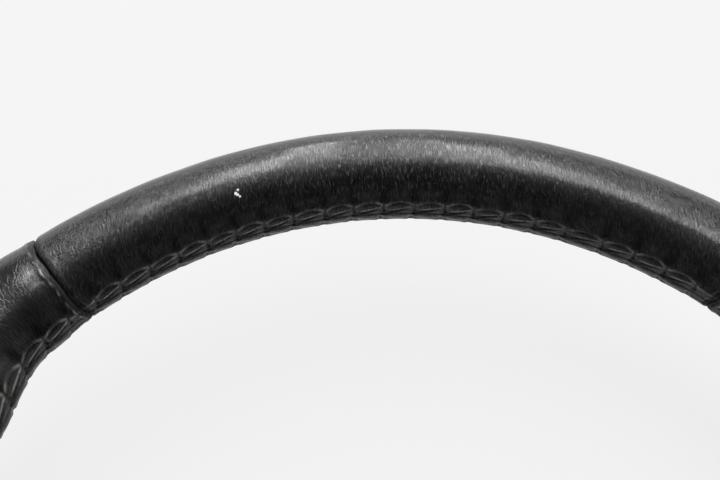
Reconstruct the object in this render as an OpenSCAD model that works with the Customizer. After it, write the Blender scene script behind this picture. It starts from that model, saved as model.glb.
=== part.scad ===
// Car steering wheel with a leather-wrapped rim and a sprung horn and airbag module.
// It lies face up: +Z runs along the steering axis towards the driver, +Y points to twelve o'clock,
// and the origin is on the axis at the hub's back face. Clock angles start at twelve o'clock.

/* [Rim] */
// Diameter of the wheel over the top and bottom of the rim
wheel_d = 370; // [356:2:384]
// Thickness of the rim over the leather
rim_d = 30; // [28:0.5:32]
// Height of the rim's centreline above the hub's back face
rim_z = 62; // [60:1:66]
// Extra radius of the side grips
grip_rise = 1; // [0.2:0.2:2]
// Length of rim over which a side grip swells, in degrees
grip_ease = 5; // [3:1:8]
// Clock angle of the upper cross seams
upper_seam = 39; // [36:1:43]
// Clock angle of the lower cross seams
lower_seam = 112; // [110:1:120]

/* [Thumb rests] */
// How far a thumb rest swells towards the hub
thumb_rise = 9.5; // [4:0.5:12]
// Clock angle of a thumb rest's middle
thumb_at = 58; // [57:1:62]
// Length of a thumb rest, in degrees
thumb_span = 26; // [20:1:28]

/* [Leather and lacing] */
// Thickness of the leather
leather_t = 1.2; // [0.9:0.1:1.6]
// Film of glue between leather and foam
glue_gap = 0.3; // [0.25:0.05:0.5]
// Width of the slit that is laced along the inside of the rim
slit_w = 3.4; // [2.6:0.2:5]
// Width of a cross seam between two panels
cross_gap = 0.8; // [0.4:0.1:1.6]
// Width of the groove in the foam that the panels' ends are tucked into
tuck_w = 2.4; // [2:0.2:4]
// Depth of that groove
tuck_d = 1.5; // [1:0.25:2.5]
// How far the lacing stands proud of the leather
lacing_proud = 0.5; // [0.2:0.1:1]
// Clearance between the lacing and the edges that it joins
lacing_gap = 0.1; // [0.05:0.05:0.3]

/* [Armature] */
// Width of the cast core in the rim
core_w = 13; // [11:0.5:14]
// Height of the cast core in the rim
core_h = 11; // [10:0.5:12]
// Wall of the cast core
core_wall = 3; // [2.5:0.25:4]
// Height of the hub plate's back face
plate_z = 12; // [11:0.5:13]
// Thickness of the hub plate
plate_t = 5; // [4:0.5:6]
// Radius of the hub plate
plate_r = 52; // [51:0.5:53]
// Width of the two side arms
side_arm_w = 26; // [22:1:30]
// Width of the lower arm
lower_arm_w = 30; // [26:1:34]
// Height of an arm at the hub plate
arm_root_h = 10; // [9:0.5:11]
// Height of an arm at the rim
arm_tip_h = 5.5; // [5:0.5:6.5]
// Web of an arm, and of the ribs' roots
arm_web = 2.5; // [2:0.25:3]
// Thickness of an arm's flanges
arm_flange = 3; // [2.5:0.25:4]
// Thickness of the cast ribs
rib_t = 2.2; // [1.8:0.2:3]
// Cross ribs in each arm
arm_ribs = 5; // [3:1:7]
// How far the cast ribs reach behind the hub plate
rib_drop = 3; // [2:0.5:4]

/* [Hub boss] */
// Outer radius of the steel boss
boss_r = 17; // [15:0.5:18]
// Length of the steel boss
boss_h = 20; // [18:0.5:22]
// Radius of the plain bore at the back of the boss
bore_r = 9; // [8.5:0.1:10]
// Length of the plain bore
bore_l = 8; // [7:0.5:10]
// Depth of the serrations below the plain bore's radius
tooth_h = 0.7; // [0.5:0.1:1]
// Number of serrations
tooth_count = 36; // [24:1:48]
// Radius of the flange that is cast into the armature
boss_flange_r = 22; // [21:0.5:24]
// Thickness of that flange
boss_flange_t = 3; // [2:0.5:3.5]

/* [Spokes] */
// How far the side spokes lie below the hub's centre
spoke_drop = 8; // [4:1:12]
// Half width of the side spokes at the pad
side_half_w = 24; // [22:0.5:26]
// Half width of the lower spoke at the pad
lower_half_w = 28; // [26:0.5:30]
// Extra half width of a spoke where it meets the rim
spoke_flare = 6; // [2:1:8]
// Height of the front of a spoke at the pad
spoke_front_z = 62; // [60:0.5:63]
// Height of the front of a spoke at the rim
spoke_tip_z = 67; // [66:0.5:68]
// Height of the joint line between front and rear covers at the pad
joint_hub_z = 47; // [44:1:50]
// Height of that joint line at the rim
joint_tip_z = 60; // [58:0.5:61]
// Height of the back of a spoke at the rim
back_tip_z = 52; // [49:0.5:53]
// Wall of the moulded covers
cover_wall = 2.5; // [2:0.25:3]
// Gap between a cover's end and the leather
seat_gap = 0.4; // [0.3:0.1:1]
// Gap between a cover's post and the arm that it stands on
post_gap = 0.3; // [0.2:0.1:0.6]
// Radius of a cover's post
post_r = 3; // [2.5:0.25:4]
// Gap along the joint line of the covers
joint_gap = 0.6; // [0.5:0.1:1]

/* [Rear cover] */
// Radius of the opening for the column
opening_r = 38; // [36:0.5:38.5]
// Outer radius of the flat ring that the wheel rests on
rest_ring_r = 52; // [50:0.5:54]
// Radius of the circle that the cover's screws stand on
screw_circle_r = 44; // [43.5:0.1:45]
// Radius of a screw's shank
screw_r = 2; // [1.75:0.05:2.25]
// Radius of a screw's head
screw_head_r = 4; // [3.5:0.1:4.2]
// Height of a screw's head
screw_head_h = 2; // [1.6:0.1:2.2]
// How far a screw's head lies below the ring
screw_sink = 0.4; // [0.2:0.1:0.8]
// Length of the screw bosses behind the hub plate
screw_boss_l = 6; // [4:0.5:7]
// How far the rear cover stands inside the pad's outline
cover_inset = 1.5; // [1:0.25:2]
// Draft of the rear cover's wall
cover_draft = 4; // [3:0.5:5]

/* [Horn pad] */
// Half width of the pad
pad_half_w = 76; // [72:1:80]
// Half height of the pad
pad_half_h = 64; // [62:0.5:67]
// How much wider the pad is above its centre than below
pad_taper = 0.14; // [0.05:0.01:0.2]
// Squareness of the pad's outline
pad_power = 2.9; // [2.4:0.1:3.4]
// Height of the pad's edge
pad_edge_z = 64.5; // [63:0.5:67]
// Rise of the pad's middle over its edge
pad_crown = 6; // [3:0.5:8]
// Rise of the raised field in the pad
field_rise = 1.2; // [0.6:0.2:2]
// Space that is left between the pad's skirt and the rear cover at full travel
skirt_gap = 1.5; // [1:0.25:2]
// Wall of the pad
pad_wall = 3; // [2.5:0.25:3.5]
// Gap between the pad and the covers round it
pad_gap = 1.3; // [1:0.1:2]
// Clearance between the pad and the lip of the housing that carries it
lip_gap = 0.3; // [0.2:0.1:0.5]
// Width of the lugs that hold that lip
lug_w = 10; // [6:1:14]
// Height of a lug
lug_h = 1.5; // [1:0.25:1.75]

/* [Horn travel] */
// How far the pad goes down when the horn is pressed
travel = 2.5; // [1.5:0.25:3]
// Space that is left between the contacts at full travel
contact_rest = 0.3; // [0.2:0.05:0.5]
// Height of the top of the guide towers
tower_top = 31; // [30:0.5:32]
// Radius of a guide tower
tower_r = 8; // [7.5:0.25:8.5]
// Radius of the circle that the guide towers stand on
tower_circle_r = 43; // [41:0.25:43.5]
// Radius of a guide pin
pin_r = 3; // [2.75:0.05:3.25]
// Running clearance of a guide pin in its bush
pin_clearance = 0.1; // [0.05:0.01:0.1]
// Wall of a guide bush
bush_wall = 1.7; // [1.5:0.1:1.9]
// Length of a guide bush below its flange
bush_l = 7; // [6:0.5:8]
// Thickness of a bush's flange
bush_flange_t = 1.5; // [1:0.1:1.8]
// Height of a horn spring at rest
spring_h = 10; // [9.5:0.25:10.5]
// Outer radius of a horn spring
spring_r = 6; // [5.5:0.1:6]
// Thickness of the spring wire
wire_d = 1.3; // [1.1:0.1:1.4]
// Turns of a horn spring
spring_turns = 4; // [3:0.5:4.5]
// Play at each end of a horn spring
spring_play = 0.1; // [0.05:0.05:0.2]
// Radius of a contact rivet's head
rivet_r = 3.5; // [2.5:0.25:4]
// Height of a contact rivet's head
rivet_h = 4; // [3:0.5:5]
// Radius of a contact rivet's shank
rivet_shank_r = 1.5; // [1:0.25:2]
// Length of a contact rivet's shank
rivet_l = 5; // [3:0.5:6]

/* [Airbag module] */
// Thickness of the contact plate
contact_t = 0.8; // [0.6:0.1:1]
// Thickness of the sheet steel in the module
sheet_t = 1.5; // [1.2:0.1:1.8]
// Height of the module housing's side walls
housing_h = 12; // [11.5:0.5:13]
// Room between the module housing and the rear cover
module_gap = 2; // [1.5:0.25:3]
// Height of the folded airbag cushion
cushion_h = 14; // [10:1:14]
// Gap between the inflator's flange and the contact plate round it
flange_gap = 1; // [0.5:0.1:2]
// How far the studs stand inside the edge of that flange
stud_inset = 3.5; // [3.4:0.1:5]
// Room between a nut and the inflator's can
nut_room = 0.9; // [0.5:0.1:2]
// Radius of a module stud
stud_r = 2.5; // [2:0.1:2.6]
// Width of a module nut across its flats
nut_af = 8; // [7.4:0.1:8.2]
// Height of a module nut
nut_h = 4; // [3.2:0.1:4.4]
// Play of a stud or a screw in its hole
hole_play = 0.2; // [0.1:0.05:0.3]

/* [Hidden] */
$fn = 64;

over = 1;
rim_r = rim_d / 2;
ring_r = wheel_d / 2 - rim_r;
plate_top = plate_z + plate_t;
arm_start = 40;
arm_root_sunk = 0.6;
arm_run_in = 20;
arm_end = ring_r - arm_run_in;
cover_end_r = ring_r - rim_r - grip_rise - seat_gap;
slit_half = slit_w / 2;
seam_half = cross_gap / 2 / ring_r * 180 / PI;
tuck_half = tuck_w / 2 / ring_r * 180 / PI;
grip_steps = 20;
around_steps = 22;

skirt_z = joint_hub_z + travel + skirt_gap;
bush_top = tower_top + bush_flange_t;
contact_z = bush_top + spring_h;
housing_z = contact_z + contact_t;
module_floor = housing_z + sheet_t;
pin_stop_z = tower_top - bush_l;
stop_gap = 0.2;
clip_t = 1.2;
groove_d = 0.8;
rivet_top = contact_z - travel - contact_rest;
bush_r = pin_r + pin_clearance + bush_wall;
housing_inset = cover_inset + cover_wall + module_gap;
lip_top = housing_z + housing_h;
screw_grip = plate_t - over;
inflator_high = 12;
inflator_flange_r = tower_circle_r - spring_r - flange_gap;
stud_circle_r = inflator_flange_r - stud_inset;
nut_r = nut_af / 2 / cos(30);
inflator_r = stud_circle_r - nut_r - nut_room;

// Direction and sideways place of each spoke: right, left, lower.
RIGHT = [0, -spoke_drop, side_half_w, side_arm_w];
LEFT = [180, spoke_drop, side_half_w, side_arm_w];
LOWER = [-90, 0, lower_half_w, lower_arm_w];
SPOKES = [RIGHT, LEFT, LOWER];

tower_side_angle = 34;
TOWERS = [for (a = [tower_side_angle, 180 - tower_side_angle, -90]) tower_circle_r * [cos(a), sin(a)]];
RIVETS = [for (a = [90, 210, 330]) tower_circle_r * [cos(a), sin(a)]];
SCREWS = [for (a = [60, 120, 225, 315]) screw_circle_r * [cos(a), sin(a)]];
STUDS = [for (a = [0, 90, 180, 270]) stud_circle_r * [cos(a), sin(a)]];
LUGS = [0, 62, 118, 180, 236, 304];

black_leather = "#26262a";
black_thread = "#141416";
black_plastic = "#2b2b2d";
dark_trim = "#3a3b3f";
cast_metal = "#a9abad";
steel = "#8d9196";
brass = "#c2a25a";
foam_grey = "#4a4a4c";
cloth = "#d9d4c4";

function mix(a, b, t) = a + (b - a) * t;
function ease(t) = let (c = min(1, max(0, t))) c * c * (3 - 2 * c);

// How far the grip and the thumb rest have swollen at clock angle a.
function grip_at(a) =
    ease((abs(a) - upper_seam) / grip_ease) * ease((lower_seam - abs(a)) / grip_ease);
function thumb_amount(a) =
    let (d = abs(abs(a) - thumb_at) / (thumb_span / 2)) d < 1 ? pow(cos(90 * d), 2) : 0;
function thumb_side(f) = pow((1 - cos(f)) / 2, 2.4);

// Radius of the rim's section at clock angle a; f is 0 outwards, 90 to the front, 180 towards the hub.
function section_r(a, f, inset) =
    rim_r - inset + grip_rise * grip_at(a) + thumb_rise * thumb_amount(a) * thumb_side(f);
function rim_point(a, f, inset) =
    let (r = section_r(a, f, inset), p = ring_r + r * cos(f))
    [p * sin(a), p * cos(a), rim_z + r * sin(f)];

// Radius of the pad's outline in the direction f.
function pad_r(f) =
    let (w = pad_half_w * (1 + pad_taper * sin(f)))
    pow(pow(abs(cos(f)) / w, pad_power) + pow(abs(sin(f)) / pad_half_h, pad_power), -1 / pad_power);
function pad_outline(inset) = [for (f = [0:6:354]) (pad_r(f) - inset) * [cos(f), sin(f)]];

// Direction that the pad's wall faces at the angle f.
function pad_facing(f) =
    let (d = pad_r(f + 2) * [cos(f + 2), sin(f + 2)] - pad_r(f - 2) * [cos(f - 2), sin(f - 2)])
    atan2(-d[0], d[1]);

// Where a line beside a spoke leaves the pad's outline, found by stepping towards it.
function pad_end(spoke, y, s = 60, left = 6) =
    let (f = spoke[0] + atan2(spoke[1] + y, s), r = pad_r(f))
    left == 0 ? s : pad_end(spoke, y, sqrt(pow(r, 2) - pow(spoke[1] + y, 2)), left - 1);

// Heights of an arm and of the rear cover along a spoke.
function arm_t(s) = ease((s - arm_start) / (arm_end - arm_start));
function arm_h(s) = mix(arm_root_h, arm_tip_h, arm_t(s));
function arm_mid(s) = mix(plate_top + arm_web - arm_root_sunk - arm_root_h / 2, rim_z - 2, arm_t(s));
function arm_top(s) = arm_mid(s) + arm_h(s) / 2;
function arm_low(s) = arm_mid(s) - arm_h(s) / 2;
function back_z(s) = back_tip_z * ease((s - rest_ring_r) / (cover_end_r - rest_ring_r));
function tongue_station(i) = mix(pad_half_w, cover_end_r, i / 6);
function spoke_t(s) =
    let (from = tongue_station(1)) min(1, max(0, (s - from) / (cover_end_r - from)));
function joint_z(s) = mix(joint_hub_z, joint_tip_z, spoke_t(s));

// A closed solid through loops of equal length. Its ends are flat faces, strips between the two
// halves of a thin loop, or joined to each other.
module skin(loops, ends = "flat") {
    n = len(loops[0]);
    m = len(loops);
    last = (m - 1) * n;
    rows = ends == "joined" ? m : m - 1;
    sides = [
        for (i = [0:rows - 1], j = [0:n - 1])
            let (
                a = i * n + j,
                b = i * n + (j + 1) % n,
                c = (i + 1) % m * n + j,
                d = (i + 1) % m * n + (j + 1) % n
            )
            each [[a, b, d], [a, d, c]]
    ];
    half = n / 2;
    caps =
        ends == "flat" ? [[for (j = [n - 1:-1:0]) j], [for (j = [0:n - 1]) last + j]] :
        ends == "strip" ? [
            for (j = [0:half - 2])
                let (a = j, b = j + 1, c = n - 2 - j, d = n - 1 - j)
                each [[b, a, d, c], [last + a, last + b, last + c, last + d]]
        ] : [];
    polyhedron(points = [for (loop = loops) each loop], faces = concat(sides, caps), convexity = 8);
}

// A stretch of the round rim from clock angle a0 to a1, with the given section.
module rim_arc(a0, a1)
    translate([0, 0, rim_z])
        rotate_extrude(start = 90 - a1, angle = a1 - a0)
            translate([ring_r, 0])
                children();

module along(spoke) rotate([0, 0, spoke[0]]) translate([0, spoke[1], 0]) children();

module at_each(places) for (p = places) translate([p[0], p[1], 0]) children();

// A hole of radius r through a plate of thickness t that stands on the plane z = 0.
module through(r, t) translate([0, 0, -over]) cylinder(r = r, h = t + 2 * over);

// The slot in the rim's skin that an arm passes through, from -half_w to half_w.
module spoke_slot(spoke, half_w) {
    room = 1.25;
    slot_r = arm_tip_h / 2 + room;
    from = ring_r - rim_r - 6;
    flat = half_w - slot_r;
    along(spoke)
        translate([from, 0, arm_mid(ring_r)])
            union() {
                translate([0, -flat, -slot_r]) cube([ring_r - from, 2 * flat, 2 * slot_r]);
                for (y = [-flat, flat])
                    translate([0, y, 0]) rotate([0, 90, 0]) cylinder(r = slot_r, h = ring_r - from);
            }
}

module leather_slot(spoke) spoke_slot(spoke, spoke[2] - 2);

module lacing_slot(spoke) spoke_slot(spoke, spoke[2] + spoke_flare + 2);

module leather_profile() {
    difference() {
        circle(r = rim_r);
        circle(r = rim_r - leather_t);
        translate([-rim_r - over, -slit_half]) square([rim_r, slit_w]);
    }
}

module lacing_profile() {
    intersection() {
        difference() {
            circle(r = rim_r + lacing_proud);
            circle(r = rim_r - leather_t);
        }
        translate([-rim_r - 2 * over, lacing_gap - slit_half]) square([rim_r, slit_w - 2 * lacing_gap]);
    }
}

// One side grip panel: side is 1 on the right and -1 on the left.
module grip_leather(side) {
    open = asin(slit_half / rim_r);
    from = upper_seam + seam_half;
    to = lower_seam - seam_half;
    function turn(j) = mix(180 - open, open - 180, j / around_steps);
    loops = [
        for (i = [0:grip_steps])
            let (a = mix(from, to, i / grip_steps) * side)
            concat(
                [for (j = [0:around_steps]) rim_point(a, turn(j), 0)],
                [for (j = [around_steps:-1:0]) rim_point(a, turn(j), leather_t)]
            )
    ];
    difference() {
        skin(side > 0 ? loops : [for (i = [grip_steps:-1:0]) loops[i]], "strip");
        leather_slot(side > 0 ? RIGHT : LEFT);
    }
}

module grip_lacing(side) {
    open = asin((slit_half - lacing_gap) / rim_r);
    across = 3;
    from = upper_seam + seam_half;
    to = lower_seam - seam_half;
    loops = [
        for (i = [0:grip_steps])
            let (a = mix(from, to, i / grip_steps) * side)
            concat(
                [for (j = [0:across]) rim_point(a, mix(180 - open, 180 + open, j / across), -lacing_proud)],
                [for (j = [across:-1:0]) rim_point(a, mix(180 - open, 180 + open, j / across), leather_t)]
            )
    ];
    difference() {
        skin(side > 0 ? [for (i = [grip_steps:-1:0]) loops[i]] : loops, "strip");
        lacing_slot(side > 0 ? RIGHT : LEFT);
    }
}

module core_profile() {
    translate([-core_w / 2, -core_h / 2])
        difference() {
            square([core_w, core_h]);
            translate([core_wall, -over]) square([core_w - 2 * core_wall, core_h - core_wall + over]);
        }
}

module rim_core() translate([0, 0, rim_z]) rotate_extrude() translate([ring_r, 0]) core_profile();

// A wall of an arm: its side outline between two heights, extruded over its width.
module arm_wall(points, width)
    rotate([90, 0, 0])
        translate([0, 0, -width / 2])
            linear_extrude(width)
                polygon(points);

// Side outline of an arm: its whole height, or only its web.
function arm_outline(whole) =
    let (stations = [for (i = [0:16]) mix(arm_start - 4, ring_r, i / 16)])
    concat(
        [for (s = stations) [s, arm_top(s)]],
        [for (i = [16:-1:0]) let (s = stations[i]) [s, whole ? arm_low(s) : arm_top(s) - arm_web]]
    );

module arm(spoke) {
    width = spoke[3];
    along(spoke)
        union() {
            arm_wall(arm_outline(false), width);
            for (y = [-1, 0, 1])
                translate([0, y * (width - arm_flange) / 2, 0])
                    arm_wall(arm_outline(true), y == 0 ? rib_t : arm_flange);
            for (i = [1:arm_ribs])
                let (s = mix(plate_r, ring_r - core_w, i / (arm_ribs + 1)), e = s + rib_t)
                arm_wall([[s, arm_low(s)], [e, arm_low(e)], [e, arm_top(e) - 1], [s, arm_top(s) - 1]], width);
        }
}

module arm_block(spoke) along(spoke) arm_wall(arm_outline(true), spoke[3]);

module boss_body() {
    key_r = 3;
    cylinder(r = boss_r, h = boss_h);
    translate([0, 0, plate_z + (plate_t - boss_flange_t) / 2])
        difference() {
            cylinder(r = boss_flange_r, h = boss_flange_t);
            for (a = [45:90:315])
                rotate([0, 0, a]) translate([boss_flange_r, 0, 0]) through(key_r, boss_flange_t);
        }
}

module armature() {
    wall = 2.5;
    collar_r = boss_flange_r + wall;
    screw_boss_r = 5;
    rivet_boss_r = rivet_r + 1;
    pocket_r = 5.5;
    pocket_gap = 0.5;
    pocket_circle_r = screw_circle_r - screw_boss_r - pocket_r - pocket_gap;
    window = [20, 8];
    rib_z = plate_z - rib_drop;
    rib_h = plate_t + rib_drop;
    color(cast_metal)
        difference() {
            union() {
                rim_core();
                for (spoke = SPOKES) arm(spoke);
                translate([0, 0, plate_z]) cylinder(r = plate_r, h = plate_t);
                translate([0, 0, rib_z])
                    difference() {
                        cylinder(r = plate_r, h = rib_h);
                        through(plate_r - wall, rib_h);
                    }
                translate([0, 0, rib_z]) cylinder(r = collar_r, h = rib_h + 2);
                for (a = [0:30:330])
                    rotate([0, 0, a])
                        translate([collar_r - over, -rib_t / 2, rib_z])
                            cube([plate_r - collar_r, rib_t, rib_drop + over]);
                at_each(TOWERS) translate([0, 0, plate_z]) cylinder(r = tower_r, h = tower_top - plate_z);
                at_each(RIVETS)
                    translate([0, 0, plate_z]) cylinder(r = rivet_boss_r, h = rivet_top - rivet_h - plate_z);
                at_each(SCREWS)
                    translate([0, 0, plate_z - screw_boss_l])
                        cylinder(r = screw_boss_r, h = screw_boss_l + plate_t);
            }
            boss_body();
            at_each(TOWERS) {
                translate([0, 0, pin_stop_z]) cylinder(r = bush_r, h = bush_l + over);
                translate([0, 0, rib_z - over]) cylinder(r = pin_r + 2.5, h = pin_stop_z - rib_z + over);
            }
            at_each(RIVETS)
                translate([0, 0, rivet_top - rivet_h - rivet_l]) cylinder(r = rivet_shank_r, h = rivet_l);
            at_each(SCREWS)
                translate([0, 0, plate_z - screw_boss_l - over])
                    cylinder(r = screw_r, h = screw_boss_l + screw_grip + over);
            translate([-window[0] / 2, collar_r + 1, rib_z - over])
                cube([window[0], window[1], rib_h + 2 * over]);
            for (a = [225, 315])
                rotate([0, 0, a]) translate([pocket_circle_r, 0, rib_z]) through(pocket_r, rib_h);
        }
}

module hub_boss() {
    top_h = 2;
    tip = 0.1;
    color(steel)
        difference() {
            boss_body();
            translate([0, 0, -over]) cylinder(r = bore_r, h = bore_l + over);
            translate([0, 0, bore_l - over])
                linear_extrude(boss_h - bore_l + 2 * over)
                    polygon([
                        for (i = [0:2 * tooth_count - 1])
                            let (r = bore_r - (i % 2 == 0 ? tip : tooth_h), a = 180 * i / tooth_count)
                            r * [cos(a), sin(a)]
                    ]);
            translate([0, 0, boss_h - top_h]) cylinder(r = bore_r + 1.5, h = top_h + over);
        }
}

module foam_side(side) {
    inset = leather_t + glue_gap;
    loops = [
        for (i = [0:grip_steps])
            let (a = mix(upper_seam + tuck_half, lower_seam - tuck_half, i / grip_steps) * side)
            [for (j = [0:around_steps - 1]) rim_point(a, -360 * j / around_steps, inset)]
    ];
    skin(side > 0 ? loops : [for (i = [grip_steps:-1:0]) loops[i]]);
}

module rim_foam() {
    foam_r = rim_r - leather_t - glue_gap;
    color(foam_grey)
        difference() {
            union() {
                rim_arc(tuck_half - upper_seam, upper_seam - tuck_half) circle(r = foam_r);
                rim_arc(lower_seam + tuck_half, 360 - lower_seam - tuck_half) circle(r = foam_r);
                foam_side(1);
                foam_side(-1);
                for (a = [-lower_seam, -upper_seam, upper_seam, lower_seam])
                    rim_arc(a - 2 * tuck_half, a + 2 * tuck_half) circle(r = foam_r - tuck_d);
            }
            rim_core();
            for (spoke = SPOKES) arm_block(spoke);
        }
}

module leather_top()
    color(black_leather) rim_arc(seam_half - upper_seam, upper_seam - seam_half) leather_profile();

module leather_bottom()
    color(black_leather)
        difference() {
            rim_arc(lower_seam + seam_half, 360 - lower_seam - seam_half) leather_profile();
            leather_slot(LOWER);
        }

module leather_left_grip() color(black_leather) grip_leather(-1);

module leather_right_grip() color(black_leather) grip_leather(1);

module lacing_top()
    color(black_thread) rim_arc(seam_half - upper_seam, upper_seam - seam_half) lacing_profile();

module lacing_bottom()
    color(black_thread)
        difference() {
            rim_arc(lower_seam + seam_half, 360 - lower_seam - seam_half) lacing_profile();
            lacing_slot(LOWER);
        }

module lacing_left() color(black_thread) grip_lacing(-1);

module lacing_right() color(black_thread) grip_lacing(1);

// The front shell of a spoke: a crowned section that flares into the rim and ends along its surface.
function spoke_half_w(spoke, t) = spoke[2] + spoke_flare * pow(t, 3);
function front_z(t) = mix(spoke_front_z, spoke_tip_z, t * t);
function rim_end(spoke, y, z) =
    let (
        extra = spoke[0] == -90 ? 0 : grip_rise,
        reach = rim_r + extra,
        r = ring_r - sqrt(pow(reach, 2) - pow(z - rim_z, 2)) - seat_gap
    )
    sqrt(pow(r, 2) - pow(spoke[1] + y, 2));
function cover_point(spoke, t, v, inset) =
    let (
        power = 0.5,
        rise = pow(abs(sin(v)), power),
        half_w = mix(spoke[2], spoke_half_w(spoke, t), min(1, 2 * rise)) - inset,
        y = half_w * sign(cos(v)) * pow(abs(cos(v)), power),
        tip_z = mix(joint_tip_z + joint_gap, spoke_tip_z - inset, rise),
        s = mix(pad_end(spoke, y) + pad_gap, rim_end(spoke, y, tip_z), t),
        low = joint_z(sqrt(pow(s, 2) + pow(spoke[1] + y, 2))) + joint_gap
    )
    [s, spoke[1] + y, mix(low, front_z(t) - inset, rise)];

module spoke_cover(spoke) {
    steps = 8;
    across = 12;
    color(dark_trim)
        union() {
            rotate([0, 0, spoke[0]])
                skin([
                    for (i = [steps:-1:0])
                        let (t = i / steps)
                        concat(
                            [for (j = [0:across]) cover_point(spoke, t, 180 * j / across, 0)],
                            [for (j = [across:-1:0]) cover_point(spoke, t, 180 * j / across, cover_wall)]
                        )
                ], "strip");
            for (t = [0.2, 0.6])
                let (s = mix(pad_half_w, cover_end_r, t), low = arm_top(s + post_r) + post_gap)
                along(spoke)
                    translate([s, 0, low]) cylinder(r = post_r, h = front_z(t) - cover_wall / 2 - low);
        }
}

module left_spoke_cover() spoke_cover(LEFT);

module right_spoke_cover() spoke_cover(RIGHT);

module lower_spoke_cover() spoke_cover(LOWER);

// Outline of the rear cover: the pad's outline with a tongue under each spoke.
function tongue_r(f, inset) =
    let (
        up = side_half_w - spoke_drop - inset,
        down = side_half_w + spoke_drop - inset,
        low = lower_half_w - inset,
        side = (sin(f) >= 0 ? up : down) / max(0.001, abs(sin(f))),
        lower = sin(f) < -0.5 ? low / max(0.001, abs(cos(f))) : 0,
        reach = max(side, lower)
    )
    reach > 4 * cover_end_r ? cover_end_r : pow(pow(reach, -14) + pow(cover_end_r, -14), -1 / 14);
function cover_r(f, inset) =
    let (body = pad_r(f) - cover_inset - inset)
    pow(pow(body, 14) + pow(tongue_r(f, inset), 14), 1 / 14);
function half_angles() =
    let (
        up = side_half_w - spoke_drop,
        down = side_half_w + spoke_drop,
        stations = [for (i = [0:6]) tongue_station(i)]
    )
    concat(
        [-90, -85],
        [for (i = [6:-1:0]) asin(lower_half_w / stations[i]) - 90],
        [for (i = [1:4]) mix(asin(lower_half_w / stations[0]) - 90, -asin(down / stations[0]), i / 5)],
        [for (s = stations) -asin(down / s)],
        [-6, 0, 3],
        [for (i = [6:-1:0]) asin(up / stations[i])],
        [for (i = [1:9]) mix(asin(up / stations[0]), 90, i / 9)]
    );

module rear_cover() {
    right = half_angles();
    count = len(right);
    angles = concat(right, [for (i = [count - 2:-1:1]) 180 - right[i]]);
    edge = 2;
    post = screw_head_r + 2;
    recess = screw_head_h + screw_sink;
    notch_gap = 0.5;
    notch_l = 14;
    function low_r(f, inset) = cover_r(f, inset + cover_draft);
    function floor_ring(t, inset) = [
        for (f = angles)
            let (r = mix(rest_ring_r, low_r(f, inset), t)) [r * cos(f), r * sin(f), back_z(r) + inset]
    ];
    function wall_ring(t, inset) = [
        for (f = angles)
            let (
                a = low_r(f, inset),
                b = cover_r(f, inset),
                r = mix(a, b, t),
                z = mix(back_z(a) + inset + edge, joint_z(b), t)
            )
            [r * cos(f), r * sin(f), z]
    ];
    function round_ring(r, z) = [for (f = angles) [r * cos(f), r * sin(f), z]];
    inside = concat(
        [round_ring(opening_r, cover_wall)],
        [for (t = [0, 0.3, 0.6, 0.9]) floor_ring(t, cover_wall)],
        [for (t = [0, 0.5, 1]) wall_ring(t, cover_wall)]
    );
    outside = concat(
        [for (t = [1, 0.5, 0]) wall_ring(t, 0)],
        [for (t = [0.9, 0.6, 0.3, 0]) floor_ring(t, 0)],
        [round_ring(opening_r, 0)]
    );
    color(black_plastic)
        difference() {
            union() {
                skin(concat(inside, outside), "joined");
                at_each(SCREWS) translate([0, 0, 1]) cylinder(r = post, h = plate_z - screw_boss_l - 1);
            }
            at_each(SCREWS)
                translate([0, 0, -over]) cylinder(r = screw_head_r + 2 * hole_play, h = recess + over);
            at_each(SCREWS) cylinder(r = screw_r + hole_play, h = plate_z);
            for (spoke = SPOKES)
                let (width = spoke[3] + 2 * notch_gap)
                along(spoke)
                    translate([cover_end_r + 2 - notch_l, -width / 2, arm_low(cover_end_r) - 2 * notch_gap])
                        cube([notch_l, width, rim_z]);
        }
}

module rear_cover_screws() {
    socket_r = screw_r * 0.8;
    color(steel)
        at_each(SCREWS)
            translate([0, 0, screw_sink])
                difference() {
                    union() {
                        cylinder(r = screw_head_r, h = screw_head_h);
                        cylinder(r = screw_r, h = plate_z + screw_grip - screw_sink);
                    }
                    translate([0, 0, -over]) cylinder(r = socket_r, h = screw_head_h * 0.6 + over, $fn = 6);
                }
}

module guide_bushes()
    color("#d8d5cc")
        at_each(TOWERS)
            difference() {
                union() {
                    translate([0, 0, pin_stop_z]) cylinder(r = bush_r, h = bush_l);
                    translate([0, 0, tower_top]) cylinder(r = spring_r + 0.5, h = bush_flange_t);
                }
                translate([0, 0, pin_stop_z]) through(pin_r + pin_clearance, bush_l + bush_flange_t);
            }

module contact_rivets()
    color(brass)
        at_each(RIVETS) {
            translate([0, 0, rivet_top - rivet_h]) cylinder(r = rivet_r, h = rivet_h);
            translate([0, 0, rivet_top - rivet_h - rivet_l]) cylinder(r = rivet_shank_r, h = rivet_l + over);
        }

// A coil with closed ends: its pitch eases to nothing at both ends.
module coil() {
    per_turn = 14;
    sides = 6;
    steps = ceil(spring_turns * per_turn);
    wire_r = wire_d / 2;
    low = bush_top + spring_play + wire_r;
    high = contact_z - spring_play - wire_r;
    function wire_ring(a, z) = [
        for (j = [0:sides - 1])
            let (b = 360 * j / sides, r = spring_r - wire_r + wire_r * cos(b))
            [r * cos(a), r * sin(a), z + wire_r * sin(b)]
    ];
    skin([for (i = [0:steps]) wire_ring(360 * i / per_turn, mix(low, high, ease(i / steps)))]);
}

module horn_springs() color(steel) at_each(TOWERS) coil();

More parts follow.
